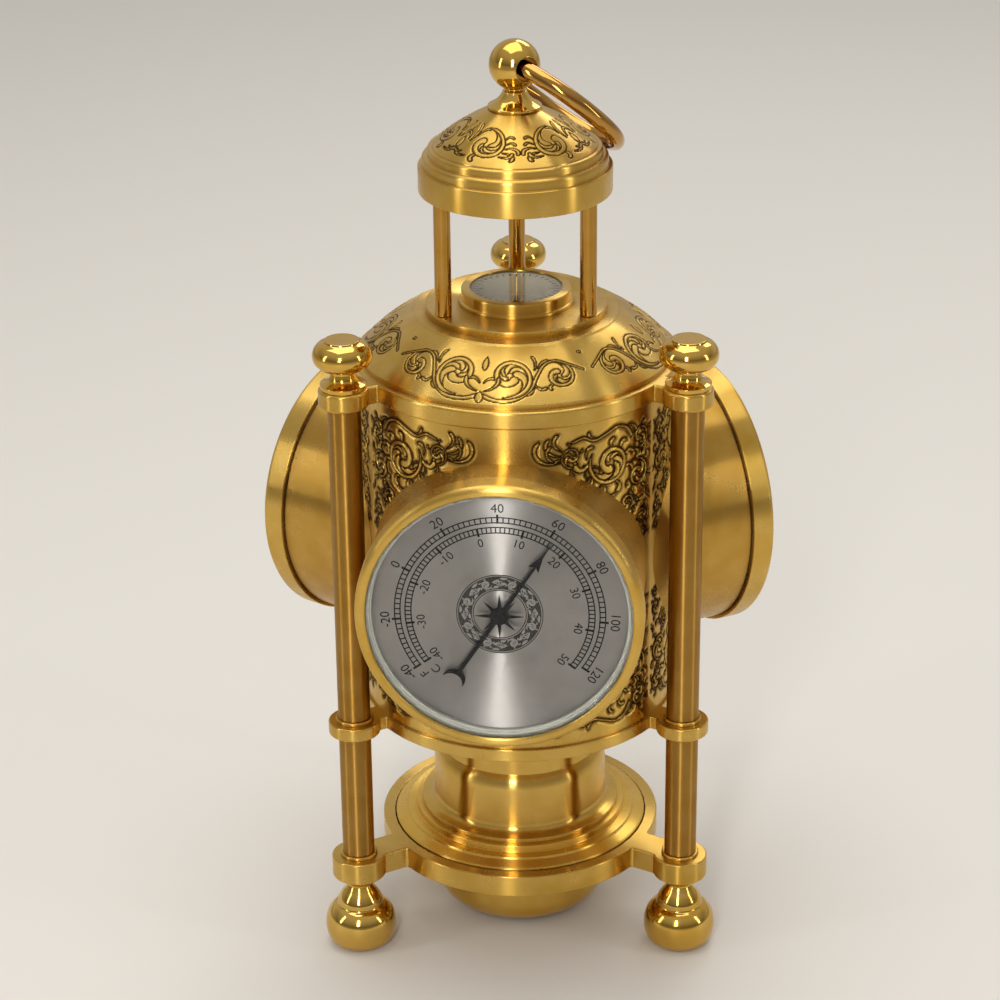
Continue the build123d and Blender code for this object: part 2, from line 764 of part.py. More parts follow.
# Clock hands: spade-shaped, the hour hand on a pipe round the minute hand's arbor
minute_level = hand_level + hand_thick + part_gap
with BuildPart() as hour_hand:
    with BuildSketch(pod_plane("clock", dial_back - arbor_depth + part_gap)):
        Circle(pipe_radius)
    extrude(amount=hand_level - dial_back + arbor_depth - part_gap)
    with BuildSketch(pod_plane("clock", hand_level, hour_angle)):
        Circle(hub_radius * 1.2)
        Trapezoid(pointer_width * 1.3, hour_length * 2, 90)
        Circle(hour_length, mode=Mode.INTERSECT)
        with Locations((0, -hour_length)):
            Rectangle(hour_length, 2 * (hour_length - hub_radius * 2), mode=Mode.SUBTRACT)
        with Locations((0, hour_length * 0.72)):
            Ellipse(hub_radius * 0.95, hub_radius * 1.2)
    extrude(amount=hand_thick)
    with BuildSketch(pod_plane("clock", hand_level + hand_thick)):
        Circle(pipe_bore)
    extrude(amount=-hand_thick - hand_lift - dial_thick - arbor_depth, mode=Mode.SUBTRACT)
hour_hand.part.label = "hour_hand"
export_step(hour_hand.part, "parts/hour_hand.step")

with BuildPart() as minute_hand:
    with BuildSketch(pod_plane("clock", dial_back - arbor_depth)):
        Circle(arbor_radius)
    extrude(amount=minute_level - dial_back + arbor_depth)
    with BuildSketch(pod_plane("clock", minute_level, minute_angle)):
        Circle(hub_radius)
        Trapezoid(pointer_width * 1.1, minute_length * 2, 90)
        Circle(minute_length, mode=Mode.INTERSECT)
        with Locations((0, -minute_length)):
            Rectangle(minute_length, 2 * (minute_length - hub_radius * 2), mode=Mode.SUBTRACT)
        with Locations((0, minute_length * 0.78)):
            Ellipse(hub_radius * 0.6, hub_radius * 1.1)
    extrude(amount=hand_thick)
    with BuildSketch(pod_plane("clock", minute_level + hand_thick)):
        Circle(hub_radius * 0.5)
    extrude(amount=hand_thick)
minute_hand.part.label = "minute_hand"
export_step(minute_hand.part, "parts/minute_hand.step")

# Clock set knob: turned from behind once the insert is drawn out of its pod
knob_front = clock_can_back - part_gap
with BuildPart() as clock_set_knob:
    with BuildSketch(pod_plane("clock", knob_front)):
        Circle(rear_knob_radius)
    extrude(amount=-rear_knob_height)
    fillet(clock_set_knob.faces().sort_by(pod_axis("clock"))[0].edges(), rear_knob_height * 0.25)
    with BuildSketch(pod_plane("clock", knob_front)):
        Circle(arbor_radius)
    extrude(amount=dial_back - arbor_depth - part_gap - knob_front)
clock_set_knob.part.label = "clock_set_knob"
export_step(clock_set_knob.part, "parts/clock_set_knob.step")

# Shoulder: the engraved cone between the drum's top plate and the lantern
with BuildPart() as shoulder:
    cone_foot = (shoulder_foot_radius, upper_plate_top + shoulder_foot)
    cone_top = (shoulder_top_radius, shoulder_top - shoulder_bulge / 2)
    cone_middle = ((cone_foot[0] + cone_top[0]) / 2 + shoulder_bulge * 0.6,
                   (cone_foot[1] + cone_top[1]) / 2 + shoulder_bulge * 0.8)
    with BuildSketch(Plane.XZ):
        with BuildLine():
            Polyline((shoulder_foot_radius - shoulder_wall, upper_plate_top),
                     (shoulder_foot_radius, upper_plate_top), cone_foot)
            ThreePointArc(cone_foot, cone_middle, cone_top)
            Polyline(cone_top, (shoulder_top_radius - shoulder_bulge / 2, shoulder_top),
                     (shoulder_bore, shoulder_top), (shoulder_bore, shoulder_top - shoulder_wall),
                     (shoulder_top_radius - shoulder_wall / 2, shoulder_top - shoulder_wall),
                     (shoulder_foot_radius - shoulder_wall, upper_plate_top + shoulder_foot / 2),
                     (shoulder_foot_radius - shoulder_wall, upper_plate_top))
        make_face()
    revolve(axis=Axis.Z)
shoulder.part.label = "shoulder"
export_step(shoulder.part, "parts/shoulder.step")

# Lantern floor: the disc that carries the posts and the compass
compass_body = compass_radius - compass_wall
with BuildPart() as lantern_floor:
    with BuildSketch(Plane.XY.offset(shoulder_top)):
        Circle(floor_radius)
    extrude(amount=floor_rise)
    fillet(lantern_floor.edges().filter_by(GeomType.CIRCLE).sort_by(Axis.Z)[-1], floor_rise * 0.15)
    with BuildSketch(Plane.XY.offset(shoulder_top)):
        Circle(shoulder_bore)
    extrude(amount=-floor_spigot)
    with BuildSketch(Plane.XY.offset(floor_top)):
        Circle(compass_body)
    extrude(amount=-floor_rise - floor_spigot, mode=Mode.SUBTRACT)
    with BuildSketch(Plane.XY.offset(floor_top)):
        with PolarLocations(post_circle_radius, 3, column_turn):
            Circle(tenon_radius)
    extrude(amount=-tenon_length, mode=Mode.SUBTRACT)
lantern_floor.part.label = "lantern_floor"
export_step(lantern_floor.part, "parts/lantern_floor.step")

# Lantern posts, three alike, with a tenon at each end
with BuildPart() as lantern_posts:
    with BuildSketch(Plane.XY.offset(floor_top)):
        with PolarLocations(post_circle_radius, 3, column_turn):
            Circle(post_radius)
    extrude(amount=post_height)
    with BuildSketch(Plane.XY.offset(floor_top - tenon_length)):
        with PolarLocations(post_circle_radius, 3, column_turn):
            Circle(tenon_radius)
    extrude(amount=post_height + 2 * tenon_length)
lantern_posts.part.label = "lantern_posts"
export_step(lantern_posts.part, "parts/lantern_posts.step")

# Lantern roof: a hollow dome on two rounded steps over a plain band, with a flange for the posts
band_top = roof_bottom + roof_band
cone_foot_level = band_top + roof_cone_foot
cone_radius = roof_step_radii[1] - roof_step_round
roof_inner = roof_radius - roof_wall * 1.5
flange_bore = roof_radius - roof_flange_width
step_rounds = [(radius - roof_step_round, band_top + level)
               for radius, level in zip(roof_step_radii, roof_step_levels)]
with BuildPart() as lantern_roof:
    with BuildSketch(Plane.XZ):
        with BuildLine():
            Polyline((flange_bore, roof_bottom), (roof_radius, roof_bottom),
                     (roof_radius, band_top - roof_band_bevel), (roof_radius - roof_band_bevel, band_top),
                     (roof_step_radii[0], band_top))
            below = band_top
            for radius, (inset, level) in zip(roof_step_radii, step_rounds):
                Polyline((radius, below), (radius, level))
                RadiusArc((radius, level), (inset, level + roof_step_round), -roof_step_round)
                below = level + roof_step_round
            Line((step_rounds[0][0], step_rounds[0][1] + roof_step_round),
                 (roof_step_radii[1], step_rounds[0][1] + roof_step_round))
            Line((cone_radius, below), (cone_radius, cone_foot_level))
            RadiusArc((cone_radius, cone_foot_level), (roof_land_radius, roof_top), -roof_arc_radius)
            Polyline((roof_land_radius, roof_top), (rod_hole, roof_top), (rod_hole, roof_top - roof_wall),
                     (roof_land_radius - roof_wall, roof_top - roof_wall))
            RadiusArc((roof_land_radius - roof_wall, roof_top - roof_wall),
                      (cone_radius - roof_wall, cone_foot_level - roof_wall), roof_arc_radius)
            Polyline((cone_radius - roof_wall, cone_foot_level - roof_wall),
                     (roof_inner, band_top - roof_wall), (roof_inner, roof_bottom + roof_flange_thick),
                     (flange_bore, roof_bottom + roof_flange_thick), (flange_bore, roof_bottom))
        make_face()
    revolve(axis=Axis.Z)
    with BuildSketch(Plane.XY.offset(roof_bottom)):
        with PolarLocations(post_circle_radius, 3, column_turn):
            Circle(tenon_radius)
    extrude(amount=tenon_length, mode=Mode.SUBTRACT)
lantern_roof.part.label = "lantern_roof"
export_step(lantern_roof.part, "parts/lantern_roof.step")

# Compass bowl: a flanged cup let into the lantern's floor
compass_bore = compass_radius - compass_rim
compass_inside = compass_bore + compass_seat
compass_glass_top = compass_top - compass_lip
compass_glass_bottom = compass_glass_top - compass_glass_thick
compass_card_bottom = compass_bottom + compass_wall
with BuildPart() as compass_bowl:
    with BuildSketch(Plane.XZ):
        with BuildLine():
            Polyline((0, compass_bottom), (compass_body, compass_bottom), (compass_body, floor_top),
                     (compass_radius + compass_flange, floor_top),
                     (compass_radius + compass_flange, floor_top + compass_flange_thick),
                     (compass_radius, floor_top + compass_flange_thick + compass_flange_slope),
                     (compass_radius, compass_top - compass_bevel),
                     (compass_radius - compass_bevel, compass_top),
                     (compass_bore, compass_top), (compass_bore, compass_glass_top),
                     (compass_inside, compass_glass_top), (compass_inside, compass_card_bottom),
                     (0, compass_card_bottom), close=True)
        make_face()
    revolve(axis=Axis.Z)
compass_bowl.part.label = "compass_bowl"
export_step(compass_bowl.part, "parts/compass_bowl.step")

# Compass card: a plated cup with a raised wall that holds the glass, and the needle's pivot
needle_level = compass_card_bottom + compass_card_thick + needle_lift
with BuildPart() as compass_card:
    with BuildSketch(Plane.XY.offset(compass_card_bottom)):
        Circle(compass_inside)
    extrude(amount=compass_card_thick)
    with BuildSketch(Plane.XY.offset(compass_card_bottom)):
        Circle(compass_inside)
        Circle(compass_inside - compass_card_wall, mode=Mode.SUBTRACT)
    extrude(amount=compass_glass_bottom - compass_card_bottom)
    with BuildSketch(Plane.XY.offset(compass_card_bottom)):
        Circle(pivot_radius)
    extrude(amount=needle_level + needle_thick / 2 - compass_card_bottom)
compass_card.part.label = "compass_card"
export_step(compass_card.part, "parts/compass_card.step")

with BuildPart() as compass_glass:
    with BuildSketch(Plane.XY.offset(compass_glass_bottom)):
        Circle(compass_inside)
    extrude(amount=compass_glass_thick)
compass_glass.part.label = "compass_glass"
export_step(compass_glass.part, "parts/compass_glass.step")

# Compass needle: a pointed bar with a cap that turns on the pivot
with BuildPart() as compass_needle:
    with BuildSketch(Plane.XY.offset(needle_level)):
        with BuildLine():
            Polyline((0, -needle_length), (needle_width / 2, -needle_length * 0.8), (needle_width / 2, 0),
                     (0, needle_length), (-needle_width / 2, 0), (-needle_width / 2, -needle_length * 0.8),
                     close=True)
        make_face()
        Circle(needle_cap_radius)
    extrude(amount=needle_thick)
    with BuildSketch(Plane.XY.offset(needle_level)):
        Circle(needle_cap_radius)
    extrude(amount=3 * needle_thick)
    with BuildSketch(Plane.XY.offset(needle_level)):
        Circle(pivot_radius + run_gap)
    extrude(amount=needle_thick, mode=Mode.SUBTRACT)
compass_needle.part.label = "compass_needle"
export_step(compass_needle.part, "parts/compass_needle.step")

# Ball finial: a cross-drilled ball on a turned neck, with a stud through the roof
axis_angle = radians(handle_angle)
handle_axis = Vector(sin(axis_angle), -cos(axis_angle), 0)
handle_side = Vector(cos(axis_angle), sin(axis_angle), 0)
handle_hole = handle_wire_radius + handle_play
neck_top = ball_level - (ball_radius ** 2 - ball_neck_radius ** 2) ** 0.5
collar_level = roof_top + ball_collar_height
collar_top = collar_level + ball_collar_thick
with BuildPart() as ball_finial:
    with BuildSketch(Plane.XZ):
        with BuildLine():
            Line((0, roof_top - ball_stud_length), (0, ball_level + ball_radius))
            ThreePointArc((0, ball_level + ball_radius), (ball_radius, ball_level),
                          (ball_neck_radius, neck_top))
            Polyline((ball_neck_radius, neck_top), (ball_neck_radius, collar_top + ball_collar_slope),
                     (ball_collar_radius, collar_top), (ball_collar_radius, collar_level))
            Spline((ball_collar_radius, collar_level), (ball_foot_radius, roof_top + ball_foot_thick),
                   tangents=((0.5, -1), (1, -0.45)))
            Polyline((ball_foot_radius, roof_top + ball_foot_thick), (ball_foot_radius, roof_top),
                     (rod_radius, roof_top), (rod_radius, roof_top - ball_stud_length),
                     (0, roof_top - ball_stud_length))
        make_face()
    revolve(axis=Axis.Z)
    with BuildSketch(Plane(origin=(0, 0, ball_level), z_dir=handle_axis)):
        Circle(handle_hole)
    extrude(amount=ball_radius, both=True, mode=Mode.SUBTRACT)
ball_finial.part.label = "ball_finial"
export_step(ball_finial.part, "parts/ball_finial.step")

# Ring handle: hangs through the ball and lies against the roof
handle_reach = 2 * handle_radius - handle_play / 2


def tilt_to_rest(centre, radius):
    """How far below level the ring's far end lies when it rests on a round of the roof's edge."""
    away = hypot(centre[0], ball_level - centre[1])
    touch = radius + handle_wire_radius + part_gap
    bend = (handle_reach ** 2 + away ** 2 - touch ** 2) / (2 * handle_reach * away)
    return degrees(atan2(ball_level - centre[1], centre[0]) - acos(min(bend, 1)))


handle_tilt = min(tilt_to_rest(step_rounds[0], roof_step_round),
                  tilt_to_rest((roof_radius - roof_band_bevel, band_top - roof_band_bevel), roof_band_bevel))
handle_fall = radians(handle_tilt)
handle_out = handle_side * cos(handle_fall) - Vector(0, 0, sin(handle_fall))
ball_centre = Vector(0, 0, ball_level)
handle_centre = ball_centre + handle_out * (handle_radius - handle_play / 2)
with BuildPart() as ring_handle:
    with BuildSketch(Plane(origin=handle_centre + handle_out * handle_radius, x_dir=handle_out,
                           z_dir=handle_axis)):
        Circle(handle_wire_radius)
    revolve(axis=Axis(handle_centre, handle_axis.cross(handle_out)))
ring_handle.part.label = "ring_handle"
export_step(ring_handle.part, "parts/ring_handle.step")

# Tie rod: clamps the cup, dish, pedestal, plates and drum together along the middle
rod_bottom = cup_bottom + cup_nut_recess - nut_thick - rod_end / 4
rod_top = upper_plate_top + nut_thick + rod_end
with BuildPart() as tie_rod:
    with BuildSketch(Plane.XY.offset(rod_bottom)):
        Circle(rod_radius)
    extrude(amount=rod_top - rod_bottom)
tie_rod.part.label = "tie_rod"
export_step(tie_rod.part, "parts/tie_rod.step")

# Hex nuts, three alike: two on the tie rod and one on the ball finial's stud
with BuildPart() as hex_nuts:
    for level in (cup_bottom + cup_nut_recess - nut_thick, upper_plate_top,
                  roof_top - roof_wall - nut_thick):
        with BuildSketch(Plane.XY.offset(level)):
            RegularPolygon(nut_width / 2, 6, major_radius=False)
            Circle(rod_radius, mode=Mode.SUBTRACT)
        extrude(amount=nut_thick)
hex_nuts.part.label = "hex_nuts"
export_step(hex_nuts.part, "parts/hex_nuts.step")
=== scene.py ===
"""A gilt brass weather station clock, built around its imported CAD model."""

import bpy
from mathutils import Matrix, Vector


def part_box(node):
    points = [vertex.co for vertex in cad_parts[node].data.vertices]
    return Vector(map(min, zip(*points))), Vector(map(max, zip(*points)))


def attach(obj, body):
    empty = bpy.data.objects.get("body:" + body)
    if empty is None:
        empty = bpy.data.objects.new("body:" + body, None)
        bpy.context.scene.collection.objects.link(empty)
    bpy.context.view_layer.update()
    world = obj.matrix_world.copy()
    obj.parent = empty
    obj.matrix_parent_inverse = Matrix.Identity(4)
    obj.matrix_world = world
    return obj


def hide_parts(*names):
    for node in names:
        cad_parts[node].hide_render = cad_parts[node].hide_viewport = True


bl_info = {
    "name": "Weather Station Clock",
    "version": (1, 0, 0),
    "blender": (4, 5, 0),
    "location": "View3D > Sidebar > Clock",
    "description": "Builds the brass, dials, engraving and stage of a weather station clock",
    "category": "Add Mesh",
}

from math import acos, asin, atan2, cos, pi, radians, sin, tan

import bmesh
import bpy
import numpy as np
from bpy.props import FloatProperty, FloatVectorProperty, IntProperty, PointerProperty
from mathutils import Matrix, Vector
from mathutils.geometry import tessellate_polygon

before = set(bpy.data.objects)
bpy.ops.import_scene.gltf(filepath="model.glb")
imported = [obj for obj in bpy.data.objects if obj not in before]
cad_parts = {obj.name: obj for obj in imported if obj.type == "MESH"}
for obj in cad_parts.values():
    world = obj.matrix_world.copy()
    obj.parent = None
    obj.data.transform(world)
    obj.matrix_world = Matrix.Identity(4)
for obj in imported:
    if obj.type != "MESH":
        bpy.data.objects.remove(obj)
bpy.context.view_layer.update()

MM = 0.001
ROOT = "stand"
COLUMN_SIDES = {"back": 90, "left": 210, "right": 330}
POD_TURNS = {"thermometer": -94.25, "barometer": 25.75, "clock": 145.75}


def low(node):
    """A node's lowest level in millimetres."""
    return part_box(node)[0].z / MM


def high(node):
    """A node's highest level in millimetres."""
    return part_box(node)[1].z / MM


def half_width(node):
    """Half a node's width along X in millimetres."""
    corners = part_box(node)
    return (corners[1].x - corners[0].x) / 2 / MM


# Levels and radii in millimetres, read from the CAD nodes where a node gives them
BASE_BOTTOM, BASE_TOP = low("base_plate"), high("base_plate")
DISH_BOTTOM, DISH_TOP = low("base_dish"), high("base_dish")
LOWER_BOTTOM, LOWER_TOP = low("lower_plate"), high("lower_plate")
UPPER_BOTTOM, UPPER_TOP = low("upper_plate"), high("upper_plate")
SHOULDER_TOP, FLOOR_TOP = high("shoulder"), high("lantern_floor")
ROOF_BOTTOM, ROOF_TOP = low("lantern_roof"), high("lantern_roof")
POD_LEVEL = (low("thermometer_pod") + high("thermometer_pod")) / 2
BOWL_RADIUS = 13.25
BALL_RADIUS = 6.45
BALL_LEVEL = high("ball_finial") - BALL_RADIUS
COLUMN_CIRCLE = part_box("upper_column_back")[0].y / MM + half_width("upper_column_back")
DRUM_RADIUS = half_width("drum_case")
ROD_HOLE = 2.15
POD_RADIUS, POD_BORE, POD_END = 35.2, 33.6, 51.1
BEZEL_BACK, DIAL_FRONT = 51.4, 53.9
GLASS_BACK, GLASS_FRONT, BEZEL_FRONT = 56.3, 57.3, 57.8
BEZEL_RADIUS, BEZEL_SEAT, BEZEL_LIP = 36.2, 33.9, 33.3

INSTRUMENT_STEPS = 192  # faces round the pods, bezels and pale rings
BORE_STEPS = 48  # faces round the bores of a plate
LONGEST_REACH = 0.72  # share of a side that a corner's round may take
SHARP_ANGLE = radians(38)  # sharper edges stay sharp in pieces without normals of their own


class ClockSizes(bpy.types.PropertyGroup):
    """The sizes of the detail that the CAD model leaves to this script."""

    edge_round: FloatProperty(
        name="Edge round", description="Round on the turned pieces' edges",
        default=0.00025, min=0.00005, max=0.001, unit="LENGTH")
    relief_depth: FloatProperty(
        name="Relief depth", description="How deep the ground between the drum's leaves is cut",
        default=0.00045, min=0.0, max=0.001, unit="LENGTH")
    line_depth: FloatProperty(
        name="Line depth", description="How deep the shoulder's and roof's lines are cut",
        default=0.00012, min=0.0, max=0.0005, unit="LENGTH")
    print_height: FloatProperty(
        name="Print height", description="Thickness of the ink on the dials",
        default=0.00004, min=0.00001, max=0.0002, unit="LENGTH")
    turned_steps: IntProperty(
        name="Turned steps", description="Faces round each turned piece",
        default=128, min=32, max=256)


class ClockFinishes(bpy.types.PropertyGroup):
    """The colours of the clock's metals, dials, inks and works."""

    gold: FloatVectorProperty(
        name="Gilt brass", description="Colour of the polished brass", subtype="COLOR",
        size=4, default=(0.62, 0.37, 0.062, 1), min=0, max=1)
    gold_pale: FloatVectorProperty(
        name="Pale brass", description="Colour where the lacquer is thin", subtype="COLOR",
        size=4, default=(0.68, 0.445, 0.115, 1), min=0, max=1)
    patina: FloatVectorProperty(
        name="Patina", description="Colour in the cut lines and the relief's ground",
        subtype="COLOR", size=4, default=(0.07, 0.03, 0.008, 1), min=0, max=1)
    # Painted shade: the carrying ring gets a darker, browner copy of the brass, standing in for the
    # dark reflections on it.
    worn_brass: FloatVectorProperty(
        name="Worn brass", description="Colour of the carrying ring, browned as painted shade",
        subtype="COLOR", size=4, default=(0.47, 0.25, 0.06, 1), min=0, max=1)
    silvered: FloatVectorProperty(
        name="Silvered dial", description="Colour of the dials' brushed silvering", subtype="COLOR",
        size=4, default=(0.35, 0.33, 0.305, 1), min=0, max=1)
    ring_white: FloatVectorProperty(
        name="Dial ring", description="Colour of the pale ring round each dial", subtype="COLOR",
        size=4, default=(0.42, 0.42, 0.355, 1), min=0, max=1)
    ink: FloatVectorProperty(
        name="Ink", description="Colour of the dials' print and of the hands", subtype="COLOR",
        size=4, default=(0.004, 0.004, 0.004, 1), min=0, max=1)
    steel: FloatVectorProperty(
        name="Steel", description="Colour of the cans, rods and nuts", subtype="COLOR",
        size=4, default=(0.5, 0.5, 0.5, 1), min=0, max=1)
    copper: FloatVectorProperty(
        name="Copper", description="Colour of the coil and capsule behind the dials",
        subtype="COLOR", size=4, default=(0.72, 0.36, 0.2, 1), min=0, max=1)
    moulding: FloatVectorProperty(
        name="Moulding", description="Colour of the clock's plastic works", subtype="COLOR",
        size=4, default=(0.02, 0.02, 0.022, 1), min=0, max=1)
    card: FloatVectorProperty(
        name="Compass card", description="Colour of the card in the compass", subtype="COLOR",
        size=4, default=(0.37, 0.32, 0.21, 1), min=0, max=1)
    needle: FloatVectorProperty(
        name="Needle", description="Colour of the needle's bright half", subtype="COLOR",
        size=4, default=(0.7, 0.7, 0.72, 1), min=0, max=1)


class ClockStage(bpy.types.PropertyGroup):
    """The floor and the lamps."""

    floor_tone: FloatVectorProperty(
        name="Floor", description="Colour of the floor and backdrop", subtype="COLOR",
        size=4, default=(0.74, 0.71, 0.66, 1), min=0, max=1)
    ceiling: FloatVectorProperty(
        name="Ceiling", description="Colour of the light from above and behind", subtype="COLOR",
        size=4, default=(0.95, 0.92, 0.87, 1), min=0, max=1)
    room: FloatVectorProperty(
        name="Room", description="Colour of the light from low in front", subtype="COLOR",
        size=4, default=(0.09, 0.075, 0.06, 1), min=0, max=1)
    sky: FloatProperty(
        name="Sky", description="Strength of the light from the surroundings", default=0.6, min=0)
    top_power: FloatProperty(
        name="Top light", description="Power of the wide lamp overhead", default=3.4, min=0,
        unit="POWER")
    key_power: FloatProperty(
        name="Key light", description="Power of the tall lamp in front", default=2.8, min=0,
        unit="POWER")
    side_power: FloatProperty(
        name="Side lights", description="Power of each strip light", default=0.75, min=0,
        unit="POWER")


# Profiles and outlines

def smooth_curve(points, steps=8):
    """A curve through points: on each span the cubic that leaves and meets its ends in the
    direction from the point before to the point after, at half that length."""
    given = np.asarray(points, float)
    ends = np.vstack([2 * given[0] - given[1], given, 2 * given[-1] - given[-2]])
    t = np.linspace(0, 1, steps, endpoint=False)[:, None]
    spans = [0.5 * (2 * b + (c - a) * t + (2 * a - 5 * b + 4 * c - d) * t ** 2
                    + (3 * b - a - 3 * c + d) * t ** 3)
             for a, b, c, d in zip(ends, ends[1:], ends[2:], ends[3:])]
    return np.vstack(spans + [given[-1:]])


def soften(corners, closed=True, steps=4):
    """Rows of (x, y, radius) as points, with each corner of a radius over 0 turned into an arc that
    touches both sides at radius / tan(half the corner's angle), or at most at LONGEST_REACH of the
    shorter side."""
    given = np.asarray([tuple(c) + (0,) * (3 - len(c)) for c in corners], float)
    rows = []
    for index, (x, y, radius) in enumerate(given):
        corner = np.array((x, y))
        if radius <= 0 or (not closed and index in (0, len(given) - 1)):
            rows.append(corner[None])
            continue
        before = given[index - 1, :2] - corner
        after = given[(index + 1) % len(given), :2] - corner
        shorter = min(np.linalg.norm(before), np.linalg.norm(after))
        before, after = before / np.linalg.norm(before), after / np.linalg.norm(after)
        half = acos(float(np.clip(before @ after, -1, 1))) / 2
        # A corner that is nearly straight or folded back stays as it is
        if half > radians(89) or half < radians(2):
            rows.append(corner[None])
            continue
        reach = min(radius / tan(half), LONGEST_REACH * shorter)
        radius = reach * tan(half)
        middle = (before + after) / np.linalg.norm(before + after)
        centre = corner + middle * radius / sin(half)
        start, end = corner + before * reach - centre, corner + after * reach - centre
        first = atan2(start[1], start[0])
        turn = (atan2(end[1], end[0]) - first + pi) % (2 * pi) - pi
        angles = first + turn * np.linspace(0, 1, steps + 1)
        rows.append(centre + radius * np.stack([np.cos(angles), np.sin(angles)], 1))
    return np.vstack(rows)


def signed_area(points):
    """Half the sum of neighbouring points' cross products, positive for a left-hand way round."""
    after = np.roll(points, -1, 0)
    return 0.5 * float(np.sum(points[:, 0] * after[:, 1] - points[:, 1] * after[:, 0]))


def outline_normals(points, closed=True):
    """Unit normals at the points: each is the direction of the sum of its two sides' right-hand
    normals, each as long as its side."""
    side = np.roll(points, -1, 0) - points
    normal = np.stack([side[:, 1], -side[:, 0]], 1)
    if not closed:
        normal[-1] = 0
    total = normal + np.roll(normal, 1, 0)
    return total / np.maximum(np.linalg.norm(total, axis=1, keepdims=True), 1e-12)


def circle(radius, count=96, centre=(0, 0)):
    """Points round a circle."""
    angles = np.linspace(0, 2 * pi, count, endpoint=False)
    return np.stack([centre[0] + radius * np.cos(angles), centre[1] + radius * np.sin(angles)], 1)


def polar(radius, angle, level):
    """Points at a radius and an angle about the z axis, at a level: arrays that fit one another."""
    return np.stack(np.broadcast_arrays(radius * np.cos(angle), radius * np.sin(angle), level), -1)


# Surfaces: each maker returns (points, faces, normals), and a triangle's fourth corner is -1

def place_at(x=0, y=0, z=0):
    """An upright place at a point in millimetres."""
    return np.array((x, y, z), float), np.eye(3)


def column_place(side):
    """The place of a column's axis on the table."""
    angle = radians(COLUMN_SIDES[side])
    return place_at(COLUMN_CIRCLE * cos(angle), COLUMN_CIRCLE * sin(angle))


def pod_place(pod):
    """A pod's place: x to the right of someone who looks at its dial, y up, z outwards."""
    angle = radians(POD_TURNS[pod])
    outward = np.array((cos(angle), sin(angle), 0))
    return np.array((0, 0, POD_LEVEL)), np.array(((-outward[1], outward[0], 0), (0, 0, 1), outward))


def rod_bores(bottom, top):
    """The bores of a plate for the three column rods."""
    return [(column_place(side)[0][:2], ((ROD_HOLE, top), (ROD_HOLE, bottom)))
            for side in COLUMN_SIDES]


def to_place(points, place):
    """Local points in the shared frame."""
    origin, axes = place
    return points @ axes + origin


def grid_faces(rows, columns, closed):
    """Faces of a grid that closes on itself along its columns, and along its rows if closed."""
    v, u = np.meshgrid(np.arange(rows if closed else rows - 1), np.arange(columns), indexing="ij")
    over, ahead = (v + 1) % rows, (u + 1) % columns
    corners = (v * columns + u, v * columns + ahead, over * columns + ahead, over * columns + u)
    return np.stack([c.ravel() for c in corners], 1)


def wrap(grid, normals=None, closed=True):
    """A grid of points (row, column, xyz) as a surface. An open grid's first and last row are each
    one point, where the surface closes as a fan."""
    rows, columns = grid.shape[:2]
    faces = grid_faces(rows, columns, closed)
    points = grid.reshape(-1, 3)
    flat = None if normals is None else normals.reshape(-1, 3)
    if closed:
        return points, faces, flat
    keep = np.r_[0, np.arange(columns, (rows - 1) * columns + 1)]
    index = np.zeros(rows * columns, int)
    index[columns:(rows - 1) * columns] = np.arange(1, (rows - 2) * columns + 1)
    index[(rows - 1) * columns:] = len(keep) - 1
    faces = index[faces]
    first = faces[:, 0] == faces[:, 1]
    faces[first] = np.c_[faces[first][:, (0, 2, 3)], -np.ones(first.sum(), int)]
    last = ~first & (faces[:, 2] == faces[:, 3])
    faces[last, 3] = -1
    return points[keep], faces, None if flat is None else flat[keep]


def turned(profile, place=None, steps=None, closed=True):
    """A profile of (radius, height) turned about its place's z axis: each point goes round the
    circle (radius * cos u, radius * sin u, height). An open profile starts and ends on the axis."""
    place = place or place_at()
    profile = np.asarray(profile, float)
    if signed_area(profile) < 0:
        profile = profile[::-1]
    steps = steps or bpy.context.scene.clock_sizes.turned_steps
    angle = np.linspace(0, 2 * pi, steps, endpoint=False)
    points, normals = (polar(rows[:, :1], angle, rows[:, 1:])
                       for rows in (profile, outline_normals(profile, closed)))
    return wrap(to_place(points, place), normals @ place[1], closed)


